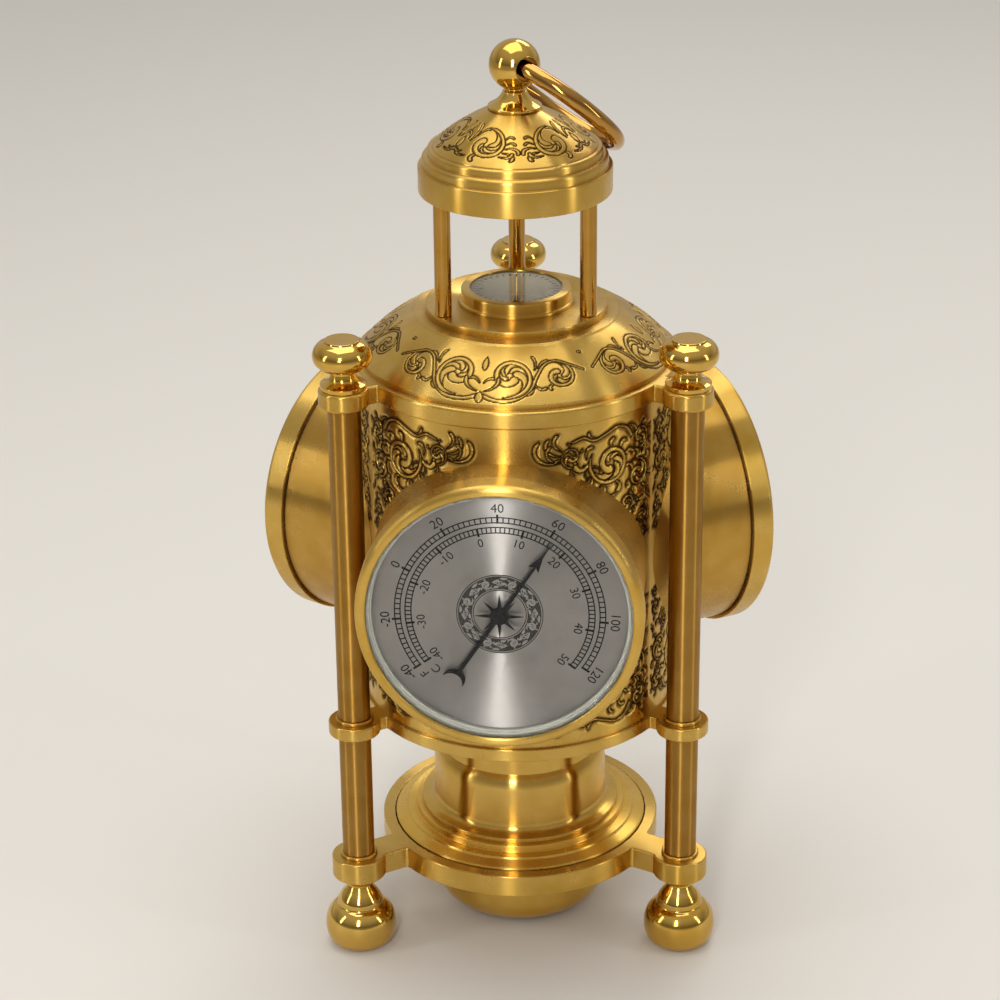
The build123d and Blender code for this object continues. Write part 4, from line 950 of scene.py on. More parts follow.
class CLOCK_OT_base(ClockOperator, bpy.types.Operator):
    """Base ring with its three arms, the stepped dish in it and the cup below."""

    bl_idname = "clock.base"
    bl_label = "Base"

    def execute(self, context):
        edge = context.scene.clock_sizes.edge_round / MM
        outline = eared_outline(37.8, 7.2, 9.0, 1.2)
        seat, ledge = 34.6, 30.1
        bore = ((seat + edge, BASE_TOP), (seat, BASE_TOP - edge), (seat, DISH_BOTTOM),
                (ledge, DISH_BOTTOM), (ledge, BASE_BOTTOM))
        bores = [((0, 0), bore)] + rod_bores(BASE_BOTTOM, BASE_TOP)
        brass_piece("base_ring", [plate(outline, BASE_BOTTOM, BASE_TOP, edge * 1.6, bores)],
                    "base_plate")
        rim, step = 34.3, BASE_TOP + 2.0
        dish = soften(((ROD_HOLE, DISH_BOTTOM), (rim, DISH_BOTTOM), (rim, BASE_TOP + 0.2, 0.15),
                       (33.9, BASE_TOP + 0.5, 0.3), (31.2, BASE_TOP + 1.5, 1.2), (31.0, step, 0.25),
                       (28.5, step, 0.3), (28.4, DISH_TOP, 0.3), (ROD_HOLE, DISH_TOP)))
        # Painted light: the dish gets a lighter copy of the same brass through tone.
        brass_piece("stepped_dish", [turned(dish)], "base_dish",
                    material=brass_material("Dish brass", tone=(1.2, 1.18, 1.0)))
        bottom, outer, inner = low("under_cup"), 23.4, 20.9
        recess, floor = bottom + 4.4, bottom + 5.6
        cup = soften(((ROD_HOLE, recess), (5.0, recess), (5.0, bottom), (outer, bottom, 6.5),
                      (outer, DISH_BOTTOM), (inner, DISH_BOTTOM), (inner, bottom + 6.5),
                      (17.6, floor), (ROD_HOLE, floor)), steps=12)
        brass_piece("round_cup", [turned(cup)], "under_cup", material=polished_brass())
        return {"FINISHED"}


class CLOCK_OT_pedestal(ClockOperator, bpy.types.Operator):
    """Turned pedestal with a flared foot, a straight body and a narrower neck."""

    bl_idname = "clock.pedestal"
    bl_label = "Pedestal"

    def execute(self, context):
        foot, body, neck = DISH_TOP + 1.3, DISH_TOP + 13.0, DISH_TOP + 18.0
        bore, narrow, wide, rim = 19.4, 21.4, 23.4, 26.9
        flange = soften(((bore, DISH_TOP), (rim, DISH_TOP, 0.2), (rim, foot, 0.3),
                         (rim - 0.3, foot)), closed=False)
        cove = smooth_curve(((rim - 0.3, foot + 0.05), (24.9, foot + 0.35), (23.8, foot + 1.2),
                             (wide, foot + 2.4)))
        shoulder = smooth_curve(((wide, body), (23.25, body + 1.6), (22.6, body + 3.4),
                                 (21.5, neck - 0.2)))
        profile = np.vstack([flange, cove, ((wide, foot + 7),), shoulder,
                             ((narrow, neck), (narrow, LOWER_BOTTOM), (bore, LOWER_BOTTOM))])
        brass_piece("flared_pedestal", [turned(profile)], "pedestal",
                    material=brass_material("Bright brass", smooth=0.2, dull=0.28))
        return {"FINISHED"}


class CLOCK_OT_columns(ClockOperator, bpy.types.Operator):
    """Short and long column tubes with the washers under them."""

    bl_idname = "clock.columns"
    bl_label = "Columns"

    def execute(self, context):
        edge = context.scene.clock_sizes.edge_round / MM
        radius, washer_radius, washer_height = 4.25, 4.95, 0.9
        washers = []
        for side in COLUMN_SIDES:
            place = column_place(side)
            for kind in ("lower", "upper"):
                node = f"{kind}_column_{side}"
                bottom, top = low(node), high(node)
                tube = soften(((ROD_HOLE, bottom), (radius, bottom, edge), (radius, top, edge),
                               (ROD_HOLE, top)))
                brass_piece(f"{kind}_tube_{side}", [turned(tube, place)], node,
                            material=drawn_brass())
                under = bottom - washer_height
                washer = soften(((ROD_HOLE, under), (washer_radius, under, 0.2),
                                 (washer_radius, bottom, 0.35), (ROD_HOLE, bottom)))
                washers.append(turned(washer, place, steps=96))
        brass_piece("tube_washers", washers, "column_washers")
        return {"FINISHED"}


class CLOCK_OT_finials(ClockOperator, bpy.types.Operator):
    """Flattened buns with a small cap, on waisted necks."""

    bl_idname = "clock.finials"
    bl_label = "Finials"

    def execute(self, context):
        foot, top = UPPER_TOP, high("finial_back")
        neck = smooth_curve(((5.9, foot + 1.2), (4.7, foot + 1.7), (3.65, foot + 2.6),
                             (3.2, foot + 4.2)))
        bun = smooth_curve(((3.3, top - 7.85), (5.6, top - 7.35), (7.2, top - 5.9),
                            (7.6, top - 4.15), (7.2, top - 2.5), (6.1, top - 1.15),
                            (4.6, top - 0.45)))
        profile = np.vstack([soften(((0, foot), (5.9, foot, 0.25), (5.9, foot + 1.1)), False), neck,
                             ((3.2, top - 8.0),), bun,
                             soften(((4.55, top - 0.4), (4.4, top, 0.2), (0, top)), False)])
        for side in COLUMN_SIDES:
            finial = turned(profile, column_place(side), closed=False)
            brass_piece(f"bun_finial_{side}", [finial], f"finial_{side}", material=polished_brass())
        return {"FINISHED"}


class CLOCK_OT_plates(ClockOperator, bpy.types.Operator):
    """Plates below and above the drum, each with three ears on the columns."""

    bl_idname = "clock.plates"
    bl_label = "Plates"

    def execute(self, context):
        edge = context.scene.clock_sizes.edge_round / MM
        for name, node, ear, bottom, top, rounding in (
                ("foot_plate", "lower_plate", 6.85, LOWER_BOTTOM, LOWER_TOP, 1.6),
                ("head_plate", "upper_plate", 6.45, UPPER_BOTTOM, UPPER_TOP, 3)):
            bores = [((0, 0), ((ROD_HOLE, top), (ROD_HOLE, bottom)))] + rod_bores(bottom, top)
            outline = eared_outline(42.3, ear, 7.0, 0.5)
            brass_piece(name, [plate(outline, bottom, top, edge * rounding, bores)], node)
        return {"FINISHED"}


class CLOCK_OT_drum(ClockOperator, bpy.types.Operator):
    """Drum case in three panels, each a relief of leaf scrolls round a pod's opening."""

    bl_idname = "clock.drum"
    bl_label = "Drum"

    def execute(self, context):
        """Each panel's grid runs in straight lines from the opening's rim, a circle as seen along
        the pod's axis whose arc is R asin(x / R), to the panel's border and back inside."""
        wall = 1.5
        reach, rise = DRUM_RADIUS * pi / 3, (UPPER_BOTTOM - LOWER_TOP) / 2
        shift = (UPPER_BOTTOM + LOWER_TOP) / 2 - POD_LEVEL
        side = np.linspace(-1, 1, 300, endpoint=False)
        ones = np.ones_like(side)
        square = np.vstack([np.stack([x, y], 1)
                            for x, y in ((ones, side), (-side, ones), (-ones, -side),
                                         (side, -ones))])
        border = square * (reach, rise) + (0, shift)
        angle = np.arctan2(border[:, 1], border[:, 0])
        opening = (POD_RADIUS + POD_BORE) / 2
        rim = np.stack([DRUM_RADIUS * np.arcsin(opening * np.cos(angle) / DRUM_RADIUS),
                        opening * np.sin(angle)], 1)
        t = np.linspace(0, 1, 78)[:, None, None]
        flat = rim[None] * (1 - t) + border[None] * t
        top, most = (field.reshape(flat.shape[:2])
                     for field in layered(np.abs(flat.reshape(-1, 2)), drum_strokes(), 0.16))
        fade = (ease(reach - np.abs(flat[..., 0]), 0.3, 1.2)
                * ease(rise - np.abs(flat[..., 1] - shift), 0.2, 0.8))
        # A line is full up to 0.15 mm from a stroke's edge, and ground starts 0.1 mm outside
        line = (1 - ease(np.abs(top), 0.15, 0.33)) * fade
        ground = ease(most, -0.9, -0.1) * (top < 0) * fade
        leaf = ease(top, 0, 0.5) * fade
        depth = context.scene.clock_sizes.relief_depth
        height = (leaf * 0.4 - np.maximum(ground, line) * 0.5) * depth / MM
        stain = np.maximum(line, ground * 0.55)
        radius = np.concatenate([DRUM_RADIUS + height,
                                 np.full((2, len(border)), DRUM_RADIUS - wall)])
        arc = np.concatenate([flat, border[None], rim[None]])
        stain = np.concatenate([stain, np.zeros((2, len(border)))])
        for index, (pod, turn) in enumerate(POD_TURNS.items()):
            around = radians(turn) + arc[..., 0] / DRUM_RADIUS
            grid = polar(radius, around, arc[..., 1] + POD_LEVEL)
            brass_piece(f"drum_panel_{pod}", [wrap(grid[::-1])],
                        *(["drum_case"] if index == 0 else []), material=cut_brass(),
                        values=stain[::-1])
        return {"FINISHED"}


class CLOCK_OT_pods(ClockOperator, bpy.types.Operator):
    """Short tubes that carry the instruments, saddle-cut to the drum."""

    bl_idname = "clock.pods"
    bl_label = "Pods"

    def execute(self, context):
        """Each wall runs straight from a saddle to the start of the rim. At angle u the saddle is
        on the drum, a little sunk, sqrt(R ** 2 - (r cos u) ** 2) out along the pod's axis."""
        angle = np.linspace(0, 2 * pi, INSTRUMENT_STEPS, endpoint=False)
        rim_start, sunk = POD_END - 3, 0.02
        rim = soften(((POD_BORE, rim_start), (POD_BORE, POD_END, 0.2), (POD_RADIUS, POD_END, 0.35),
                      (POD_RADIUS, rim_start)), False)[::-1]
        share = np.linspace(1, 0, 8)[:-1]

        def wall(radius, shares):
            """A wall's rows, where share 1 is the saddle and share 0 the start of the rim."""
            saddle = np.sqrt(DRUM_RADIUS ** 2 - (radius * np.cos(angle)) ** 2) - sunk
            return [polar(radius, angle, saddle * s + rim_start * (1 - s)) for s in shares]

        turn = [polar(radius, angle, distance) for radius, distance in rim]
        grid = np.stack(wall(POD_RADIUS, share) + turn + wall(POD_BORE, share[::-1]))
        for pod in POD_TURNS:
            # Painted shade: the tubes get a darker copy of the bezels' brass through tone, for the
            # darker reflections on their sides.
            brass_piece(f"pod_tube_{pod}", [wrap(to_place(grid, pod_place(pod)))], f"{pod}_pod",
                        material=brass_material(f"Tube brass {pod}", pod=pod,
                                                tone=(0.84, 0.77, 0.7)))
        return {"FINISHED"}


class CLOCK_OT_bezels(ClockOperator, bpy.types.Operator):
    """Rounded bezels, the pale rings in them, and the glasses, dials and cans that they hold."""

    bl_idname = "clock.bezels"
    bl_label = "Bezels and dials"

    def execute(self, context):
        bezel = soften(((BEZEL_SEAT, BEZEL_BACK), (BEZEL_RADIUS, BEZEL_BACK, 0.3),
                        (BEZEL_RADIUS, BEZEL_FRONT, 1.6), (BEZEL_LIP + 0.5, BEZEL_FRONT, 0.3),
                        (BEZEL_LIP, GLASS_FRONT, 0.1), (BEZEL_SEAT, GLASS_FRONT)), steps=10)
        ring = soften(((BEZEL_SEAT, DIAL_FRONT), (BEZEL_SEAT, GLASS_BACK), (32.5, GLASS_BACK, 0.2),
                       (32.4, GLASS_BACK - 0.9, 0.1), (32.15, GLASS_BACK - 1.0, 0.1),
                       (32.1, DIAL_FRONT)))
        pale = plain_material("Pale ring", context.scene.clock_finishes.ring_white, smooth=0.35,
                              dull=0.5)
        for pod in POD_TURNS:
            place, body = pod_place(pod), f"{pod}_insert"
            brass_piece(f"bezel_ring_{pod}", [turned(bezel, place, INSTRUMENT_STEPS)],
                        f"{pod}_bezel", body=body,
                        material=brass_material(f"Gilt brass {pod}", pod=pod))
            piece(f"pale_ring_{pod}", [turned(ring, place, INSTRUMENT_STEPS)], body,
                  pale, [f"{pod}_dial_ring"])
            dress(glass_material(), f"{pod}_glass")
            dress(dial_material(pod), f"{pod}_dial")
            dress(steel_material(), f"{pod}_can")
        return {"FINISHED"}


class CLOCK_OT_prints(ClockOperator, bpy.types.Operator):
    """Scales, numbers and ornament printed on the three dials."""

    bl_idname = "clock.prints"
    bl_label = "Dial prints"

    def execute(self, context):
        self.ink_top = DIAL_FRONT + context.scene.clock_sizes.print_height / MM
        start, end_f, end_c = -126.2, 124.6, 127.7
        self.scale("thermometer", (
            self.track(25.0, 26.4, start, end_f, 81), self.track(22.25, 23.75, start, end_c, 91),
            self.ticks(24.8, 27.2, np.linspace(start, end_f, 9), 0.55),
            self.ticks(21.6, 23.9, np.linspace(start, end_c, 10), 0.55),
            self.numbers(range(-40, 121, 20), 28.9, start, end_f, 3.4),
            self.numbers(range(-40, 51, 10), 19.9, start, end_c, 3.1),
            self.numbers("F", 25.8, -132, -132, 3.2), self.numbers("C", 22.7, -134.5, -134.5, 3.2)))
        end = 140
        self.scale("barometer", (
            self.track(25.0, 26.4, -end, end, 81),
            self.ticks(25.0, 27.4, np.linspace(-end, end, 9), 0.42),
            self.numbers(range(960, 1041, 10), 29.2, -end, end, 3.1)))
        self.scale("clock", (
            self.track(28.6, 30.0, 0, 360, 61), self.ticks(28.6, 31.0, np.arange(12) * 30.0, 0.5),
            self.numbers(range(1, 13), 24.9, 30, 360, 5.0)))
        return {"FINISHED"}

    def scale(self, pod, groups):
        """All ink of one dial as a piece on its face."""
        parts = [placed(part, pod_place(pod)) for group in groups for part in group]
        piece(f"dial_print_{pod}", parts, f"{pod}_insert", ink_material())
        self.ornament(pod)

    def arc(self, radius, width, first, last):
        """A thin ring or arc of ink between two dial angles, in degrees clockwise from the top."""
        angle = np.radians(90 - np.linspace(first, last, int(abs(last - first)) + 2))
        inner, outer = radius - width / 2, radius + width / 2
        section = ((inner, self.ink_top), (outer, self.ink_top), (outer, DIAL_FRONT),
                   (inner, DIAL_FRONT))
        rows = np.stack([polar(r, angle, z) for r, z in section])
        count = len(angle)
        v, u = np.meshgrid(np.arange(4), np.arange(count - 1), indexing="ij")
        here, over = v * count + u, (v + 1) % 4 * count + u
        sides = np.stack([corner.ravel() for corner in (here, over, over + 1, here + 1)], 1)
        start = np.arange(4) * count
        faces = np.vstack([sides, start, (start + count - 1)[::-1]])
        return rows.reshape(-1, 3), faces[:, ::-1], None

    def ticks(self, inner, outer, angles, width):
        """Radial marks between two radii."""
        turn = np.radians(-np.asarray(angles, float))
        middle = (inner + outer) / 2
        centres = middle * np.stack([-np.sin(turn), np.cos(turn)], 1)
        marks = np.tile((width, outer - inner), (len(turn), 1))
        return [box_grid(centres, marks, turn, DIAL_FRONT, self.ink_top)]

    def track(self, inner, outer, first, last, marks):
        """A railway track: two arcs and the marks between them."""
        line = 0.3
        arcs = [self.arc(radius, line, first, last) for radius in (inner, outer)]
        return arcs + self.ticks(inner, outer, np.linspace(first, last, marks), line)

    def numbers(self, labels, radius, first, last, size):
        """Plain numbers round a circle, upright as seen from the centre."""
        parts = []
        for label, angle in zip(labels, np.radians(np.linspace(first, last, len(labels)))):
            points, faces = self.letter(str(label), size)
            c, s = cos(-angle), sin(-angle)
            spun = np.stack([points[:, 0] * c - (points[:, 1] + radius) * s,
                             points[:, 0] * s + (points[:, 1] + radius) * c, points[:, 2]], 1)
            parts.append((spun, faces, None))
        return parts

    def letter(self, label, size):
        """A label as points and faces: its outline raised by the ink's height, about its middle."""
        curve = bpy.data.curves.new("label", "FONT")
        curve.body, curve.size, curve.extrude = label, size, (self.ink_top - DIAL_FRONT) / 2
        curve.resolution_u = 3
        holder = bpy.data.objects.new("label", curve)
        mesh = bpy.data.meshes.new_from_object(holder)
        work = bmesh.new()
        work.from_mesh(mesh)
        bmesh.ops.remove_doubles(work, verts=work.verts, dist=1e-5)
        bmesh.ops.triangulate(work, faces=work.faces)
        bmesh.ops.recalc_face_normals(work, faces=work.faces)
        points = np.array([v.co[:] for v in work.verts])
        faces = np.array([[v.index for v in f.verts] + [-1] for f in work.faces])
        work.free()
        bpy.data.objects.remove(holder)
        middle = (points.max(0) + points.min(0)) / 2
        return points - middle + (0, 0, (self.ink_top + DIAL_FRONT) / 2), faces

    def ornament(self, pod):
        """Fine bright scrolls on a dark ground, between dark rims, round the dial's middle."""
        count, rows, inner, outer, repeats = 560, 44, 6.5, 10.9, 8
        angle = np.linspace(0, 2 * pi, count, endpoint=False)
        radius = np.linspace(inner, outer, rows)
        middle = (inner + outer) / 2
        pitch = 2 * pi * middle / repeats
        along = (angle * middle) % pitch - pitch / 2
        flat = np.stack(np.broadcast_arrays(along[None], radius[:, None]), -1).reshape(-1, 2)
        top = layered(flat, dial_strokes(pitch, middle), 0.05)[0].reshape(rows, count)
        edge = np.minimum(radius - inner, outer - radius)[:, None]
        rim = (1 - ease(edge, 0.16, 0.28)) + (1 - ease(np.abs(edge - 0.55), 0.03, 0.12)) * 0.8
        ground = (1 - ease(top, -0.02, 0.06)) * ease(edge, 0.55, 0.6)
        dark = np.clip(np.maximum(ground * 0.75, rim) + 0.18, 0, 1)
        lift = self.ink_top - DIAL_FRONT + 0.02 * ease(top, -0.05, 0.2)
        rise = np.vstack([lift + DIAL_FRONT, np.full((2, count), DIAL_FRONT)])
        across = np.r_[radius, outer, inner][:, None]
        grid = to_place(polar(across, angle, rise), pod_place(pod))
        stain = np.vstack([dark, np.zeros((2, count))])
        piece(f"dial_ornament_{pod}", [wrap(grid[::-1])], f"{pod}_insert",
              engraved_silver(), values=stain[::-1])


class CLOCK_OT_hands(ClockOperator, bpy.types.Operator):
    """Finishes of the pointers, hands, knobs and the works behind the dials."""

    bl_idname = "clock.hands"
    bl_label = "Hands and works"

    def execute(self, context):
        finishes = context.scene.clock_finishes
        copper = plain_material("Copper strip", finishes.copper, metallic=1.0, smooth=0.25,
                                dull=0.4)
        moulding = plain_material("Moulded works", finishes.moulding, smooth=0.4, dull=0.6)
        dress(ink_material(), "thermometer_pointer", "barometer_pointer", "hour_hand",
              "minute_hand")
        dress(brass_material(), "barometer_set_hand", "clock_set_knob")
        dress(steel_material(), "column_rods", "tie_rod", "hex_nuts")
        dress(copper, "bimetal_coil", "aneroid_capsule")
        dress(moulding, "clock_movement")
        return {"FINISHED"}


class CLOCK_OT_shoulder(ClockOperator, bpy.types.Operator):
    """Shoulder cone with engraved leaf scrolls."""

    bl_idname = "clock.shoulder"
    bl_label = "Shoulder"

    def execute(self, context):
        """The cone's profile is a straight line, bowed out by 4 * swell * t * (1 - t)."""
        foot, top = np.array((40.4, UPPER_TOP + 1.3)), np.array((26.7, SHOULDER_TOP - 0.45))
        swell = 0.81
        t = np.linspace(0, 1, 82)[:, None]
        out = np.array((top[1] - foot[1], foot[0] - top[0]))
        out = out / np.linalg.norm(out)
        cone = foot * (1 - t) + top * t + out * 4 * swell * t * (1 - t)
        inside, bore, seat = 38.2, 21.0, SHOULDER_TOP - 2.2
        before = soften(((inside, UPPER_TOP), (40.4, UPPER_TOP, 0.05), (40.4, UPPER_TOP + 1.0)),
                        False)
        after = soften(((26.5, SHOULDER_TOP - 0.2), (26.2, SHOULDER_TOP, 0.15),
                        (bore, SHOULDER_TOP, 0.1), (bore, seat), (25.6, seat),
                        (inside, UPPER_TOP + 0.65)), False)
        engraved("shoulder", before, cone, after, steps=940, repeats=4, mean=33.5,
                 strokes=shoulder_strokes(), turn=-13.3)
        return {"FINISHED"}


class CLOCK_OT_lantern(ClockOperator, bpy.types.Operator):
    """Lantern floor, posts and the engraved roof."""

    bl_idname = "clock.lantern"
    bl_label = "Lantern"

    def execute(self, context):
        edge = context.scene.clock_sizes.edge_round / MM
        spigot, disc, bottom = 20.95, 23.4, SHOULDER_TOP - 2.2
        floor = soften(((BOWL_RADIUS, bottom), (spigot, bottom), (spigot, SHOULDER_TOP),
                        (disc, SHOULDER_TOP), (disc, FLOOR_TOP, 0.3), (BOWL_RADIUS, FLOOR_TOP)))
        brass_piece("lantern_disc", [turned(floor)], "lantern_floor")
        circle_radius, post = 21.2, 2.15
        shaft = soften(((0, FLOOR_TOP), (post, FLOOR_TOP, edge), (post, ROOF_BOTTOM, edge),
                        (0, ROOF_BOTTOM)), closed=False)
        places = [place_at(circle_radius * cos(angle), circle_radius * sin(angle))
                  for angle in map(radians, COLUMN_SIDES.values())]
        posts = [turned(shaft, place, steps=64, closed=False) for place in places]
        # Painted shade: the posts get a darker copy of the polished brass through tone, for the
        # dark reflections down them.
        brass_piece("lantern_shafts", posts, "lantern_posts",
                    material=polished_brass("Post brass", (0.66, 0.56, 0.5)))
        self.roof(edge)
        return {"FINISHED"}

    def roof(self, edge):
        """The cone's profile is an arc of radius arc between its foot and the top."""
        band = ROOF_BOTTOM + 6.7
        foot, arc = band + 5.0, 55.0
        mouth, rim, low_step, high_step = 18.84, 24.64, 23.6, 22.1
        before = soften(((mouth, ROOF_BOTTOM), (rim, ROOF_BOTTOM, edge), (rim, band, 0.4),
                         (low_step, band, 0.15), (low_step, band + 2.7, 1.2),
                         (high_step, band + 2.7, 0.15), (high_step, band + 4.8, 1.2),
                         (20.95, band + 4.8), (20.92, foot - 0.1)), False, 6)
        start, end = np.array((20.9, foot)), np.array((6.9, ROOF_TOP))
        chord = end - start
        length = np.linalg.norm(chord)
        out = np.array((chord[1], -chord[0])) / length
        t = np.linspace(-0.5, 0.5, 84)[:, None] * length
        bow = np.sqrt(arc ** 2 - t ** 2) - (arc ** 2 - (length / 2) ** 2) ** 0.5
        cone = (start + end) / 2 + chord / length * t + out * bow
        shell, ledge, inside = 1.5, ROOF_BOTTOM + 2.4, 22.39
        after = soften(((6.8, ROOF_TOP), (ROD_HOLE, ROOF_TOP), (ROD_HOLE, ROOF_TOP - shell),
                        (5.4, ROOF_TOP - shell), (12.7, ROOF_TOP - 5.6), (19.4, foot - shell),
                        (inside, band - shell), (inside, ledge), (mouth, ledge)), False)
        engraved("lantern_roof", before, cone, after, steps=696, repeats=3, mean=14.5,
                 strokes=roof_strokes(), turn=65.4)


class CLOCK_OT_compass(ClockOperator, bpy.types.Operator):
    """Compass with its bowl, card, glass and needle."""

    bl_idname = "clock.compass"
    bl_label = "Compass"

    def execute(self, context):
        top, bottom = high("compass_bowl"), low("compass_bowl")
        flange, rim, lip, inside, thick = 14.7, 14.15, 11.87, 12.42, 0.9
        bowl = soften(((0, bottom), (BOWL_RADIUS, bottom), (BOWL_RADIUS, FLOOR_TOP),
                       (flange, FLOOR_TOP, 0.1), (flange, FLOOR_TOP + 0.7, 0.3),
                       (rim, FLOOR_TOP + 1.0, 0.2), (rim, top, 0.6), (lip, top, 0.25),
                       (lip, top - 0.3), (inside, top - 0.3), (inside, bottom + thick),
                       (0, bottom + thick)), closed=False, steps=6)
        brass_piece("compass_cup", [turned(bowl, closed=False)], "compass_bowl")
        card = plain_material("Compass card", context.scene.clock_finishes.card, smooth=0.4,
                              dull=0.6)
        dress(card, "compass_card")
        index, width, outer = np.arange(36), 0.22, 10.9
        angles, lengths = index * pi / 18, np.where(index % 9 == 0, 2.4, 1.3)
        reach, level = outer - lengths / 2, high("compass_card")
        marks = box_grid(np.stack([-reach * np.sin(angles), reach * np.cos(angles)], 1),
                         np.stack([np.full(len(index), width), lengths], 1), angles,
                         level, level + context.scene.clock_sizes.print_height / MM)
        piece("compass_marks", [marks], ROOT, ink_material())
        dress(glass_material(), "compass_glass")
        dress(needle_material(), "compass_needle")
        return {"FINISHED"}


class CLOCK_OT_ring(ClockOperator, bpy.types.Operator):
    """Cross-drilled ball on its turned neck, and the ring that hangs through it."""

    bl_idname = "clock.ring"
    bl_label = "Ball and ring"

    def execute(self, context):
        """The ball is a bead turned about the ring's hinge axis: the arc of radius R between the
        bore's two mouths, and the bore. The ring is a torus in the plane that it lies in."""
        direction = radians(33)
        axis = np.array((sin(direction), -cos(direction), 0))
        level_side = np.array((cos(direction), sin(direction), 0))
        bore = 3.0
        mouth = acos(bore / BALL_RADIUS)
        swing = np.linspace(-mouth, mouth, 48)
        half, worn_lip = BALL_RADIUS * sin(mouth), bore + 0.12
        bead = np.vstack([BALL_RADIUS * np.stack([np.cos(swing), np.sin(swing)], 1)[1:-1],
                          ((worn_lip, half - 0.05), (bore, half - 0.25), (bore, 0.25 - half),
                           (worn_lip, 0.05 - half))])
        centre = np.array((0, 0, BALL_LEVEL))
        ball = turned(bead, (centre, np.array((level_side, np.cross(axis, level_side), axis))),
                      steps=96)
        collar, spigot_end, ball_foot = ROOF_TOP + 4.25, ROOF_TOP - 8, BALL_LEVEL - 5.2
        neck = np.vstack([
            ((0, spigot_end), (2, spigot_end), (2, ROOF_TOP)),
            soften(((6.85, ROOF_TOP), (6.85, ROOF_TOP + 0.9, 0.3), (6.6, ROOF_TOP + 1.05)), False),
            smooth_curve(((6.5, ROOF_TOP + 1.1), (5.3, ROOF_TOP + 1.8), (4.1, ROOF_TOP + 2.8),
                          (3.1, collar))),
            soften(((3.1, collar + 0.05), (3.1, collar + 0.35, 0.15), (2.35, collar + 0.75, 0.15),
                    (2.35, ball_foot), (0, ball_foot)), False)])
        brass_piece("drilled_ball", [ball, turned(neck, closed=False)], "ball_finial",
                    material=polished_brass())
        wire, radius, slack = 2.1, 17.8, 0.45
        fall = asin((BALL_LEVEL - wire - low("ring_handle")) / (2 * radius - slack))
        out = level_side * cos(fall) - np.array((0, 0, sin(fall)))
        middle = centre + out * (radius - slack)
        ring = circle(wire, 40, (radius, 0))
        ring_axes = np.array((out, axis, np.cross(out, axis)))
        # The ring's darker, browner brass is painted shade for the dark reflections on it.
        ring_shade = plain_material("Worn brass", context.scene.clock_finishes.worn_brass, metallic=1.0,
                              smooth=0.08, dull=0.16)
        brass_piece("carrying_ring", [turned(ring, (middle, ring_axes), INSTRUMENT_STEPS)],
                    "ring_handle", material=ring_shade, body="ring_handle")
        return {"FINISHED"}


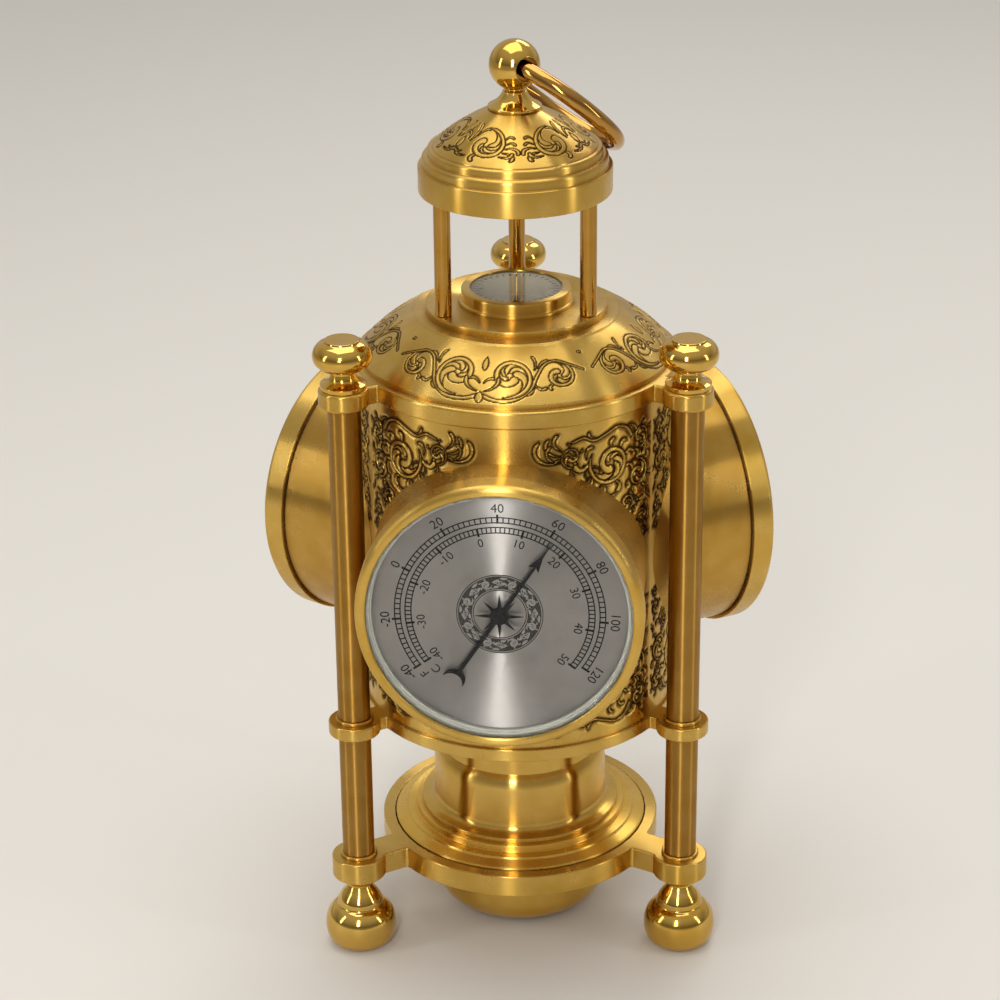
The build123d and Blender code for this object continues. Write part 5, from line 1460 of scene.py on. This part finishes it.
class CLOCK_OT_stage(ClockOperator, bpy.types.Operator):
    """Pale floor, soft lamps and the camera at the photograph's angle."""

    bl_idname = "clock.stage"
    bl_label = "Stage"

    def execute(self, context):
        scene, stage = context.scene, context.scene.clock_stage
        reach = 3
        corners = [(-reach, -reach, 0), (reach, -reach, 0), (reach, reach, 0), (-reach, reach, 0)]
        floor = bpy.data.meshes.new("floor")
        floor.from_pydata(corners, [], [(0, 1, 2, 3)])
        material, _, shader = base_material("Studio floor")
        shader.inputs["Base Color"].default_value = stage.floor_tone
        shader.inputs["Roughness"].default_value = 0.6
        floor.materials.append(material)
        ground = bpy.data.objects.new("floor", floor)
        scene.collection.objects.link(ground)
        self.lamp("top", (-0.05, 0.1, 0.95), (0.7, 0.7), stage.top_power)
        self.lamp("key", (-0.14, -0.88, 0.56), (0.11, 0.5), stage.key_power)
        self.lamp("left_strip", (-0.75, -0.3, 0.4), (0.09, 0.5), stage.side_power)
        self.lamp("right_strip", (0.8, -0.3, 0.4), (0.09, 0.5), stage.side_power)
        self.lamp("back", (0.3, 0.8, 0.8), (0.5, 0.3), stage.side_power * 2)
        self.surroundings(scene, stage)
        self.camera(scene)
        scene.view_settings.view_transform = "Standard"
        return {"FINISHED"}

    def surroundings(self, scene, stage):
        """The world: ceiling above and behind, room low in front, floor's tone at the horizon."""
        world = bpy.data.worlds.new("studio")
        world.use_nodes = True
        tree = world.node_tree
        place = joined(tree, "TexCoord")
        way = joined(tree, "SeparateXYZ", {0: place.outputs["Generated"]})
        above, behind, level = (
            joined(tree, "MapRange",
                   {"Value": way.outputs[axis], "From Min": start, "From Max": end})
            for axis, start, end in (("Z", 0.0, 0.75), ("Y", -0.3, 0.6), ("Z", 0.16, 0.02)))
        bright = joined(tree, "Math", {0: above.outputs[0], 1: behind.outputs[0]},
                        operation="MAXIMUM")
        upper = mixed(tree, bright.outputs[0], stage.room, stage.ceiling)
        far = toned(stage.floor_tone, (0.86, 0.84, 0.8))
        tree.links.new(mixed(tree, level.outputs[0], upper, far),
                       tree.nodes["Background"].inputs[0])
        tree.nodes["Background"].inputs[1].default_value = stage.sky
        scene.world = world

    def camera(self, scene):
        """A camera whose axes, place in millimetres and focal length in pixels of a frame 1000 wide
        were fitted to the columns, rims and dial of the photograph."""
        data = bpy.data.cameras.new("camera")
        focal_length, frame_width = 2950.16, 1000
        data.sensor_width = 36.0
        data.lens = focal_length / frame_width * data.sensor_width
        data.clip_start, data.clip_end = 0.05, 20
        camera = bpy.data.objects.new("camera", data)
        right = Vector((0.99983949, 0.01521547, -0.00945919))
        down = Vector((-0.0023555, -0.41175035, -0.91129364))
        ahead = Vector((-0.01776059, 0.91116965, -0.41164842))
        turn = Matrix((right, -down, -ahead)).transposed().to_4x4()
        camera.matrix_world = Matrix.Translation(Vector((9.147, -711.104, 441.533)) * MM) @ turn
        scene.collection.objects.link(camera)
        scene.camera = camera

    def lamp(self, name, place, size, power):
        """A soft rectangular lamp that faces the middle of the clock."""
        data = bpy.data.lights.new(name, "AREA")
        data.shape = "RECTANGLE"
        data.size, data.size_y = size
        data.energy = power
        lamp = bpy.data.objects.new(name, data)
        lamp.location = place
        middle = Vector((0, 0, 0.12))
        lamp.rotation_euler = (middle - Vector(place)).to_track_quat("-Z", "Y").to_euler()
        bpy.context.scene.collection.objects.link(lamp)


OPERATORS = (CLOCK_OT_stage, CLOCK_OT_feet, CLOCK_OT_base, CLOCK_OT_pedestal, CLOCK_OT_columns,
             CLOCK_OT_finials, CLOCK_OT_plates, CLOCK_OT_drum, CLOCK_OT_pods, CLOCK_OT_bezels,
             CLOCK_OT_prints, CLOCK_OT_hands, CLOCK_OT_shoulder, CLOCK_OT_lantern, CLOCK_OT_compass,
             CLOCK_OT_ring)


class CLOCK_PT_panel(bpy.types.Panel):
    """The clock's sizes, finishes and building steps."""

    bl_idname = "CLOCK_PT_panel"
    bl_label = "Weather Station Clock"
    bl_space_type = "VIEW_3D"
    bl_region_type = "UI"
    bl_category = "Clock"

    def draw(self, context):
        layout = self.layout
        for group in (context.scene.clock_sizes, context.scene.clock_finishes,
                      context.scene.clock_stage):
            box = layout.box()
            for key in group.__annotations__:
                box.prop(group, key)
        for operator in OPERATORS:
            layout.operator(operator.bl_idname)


GROUPS = {"clock_sizes": ClockSizes, "clock_finishes": ClockFinishes, "clock_stage": ClockStage}
CLASSES = (*GROUPS.values(), *OPERATORS, CLOCK_PT_panel)


def register():
    """Make the classes known, and give each scene the groups of sizes and colours."""
    for made in CLASSES:
        bpy.utils.register_class(made)
    for key, group in GROUPS.items():
        setattr(bpy.types.Scene, key, PointerProperty(type=group))


def unregister():
    """Undo register."""
    for key in GROUPS:
        delattr(bpy.types.Scene, key)
    for made in reversed(CLASSES):
        bpy.utils.unregister_class(made)


def main():
    """Build everything in order."""
    register()
    for operator in OPERATORS:
        area, name = operator.bl_idname.split(".")
        getattr(getattr(bpy.ops, area), name)()
    bpy.context.view_layer.update()


if __name__ == "__main__":
    main()
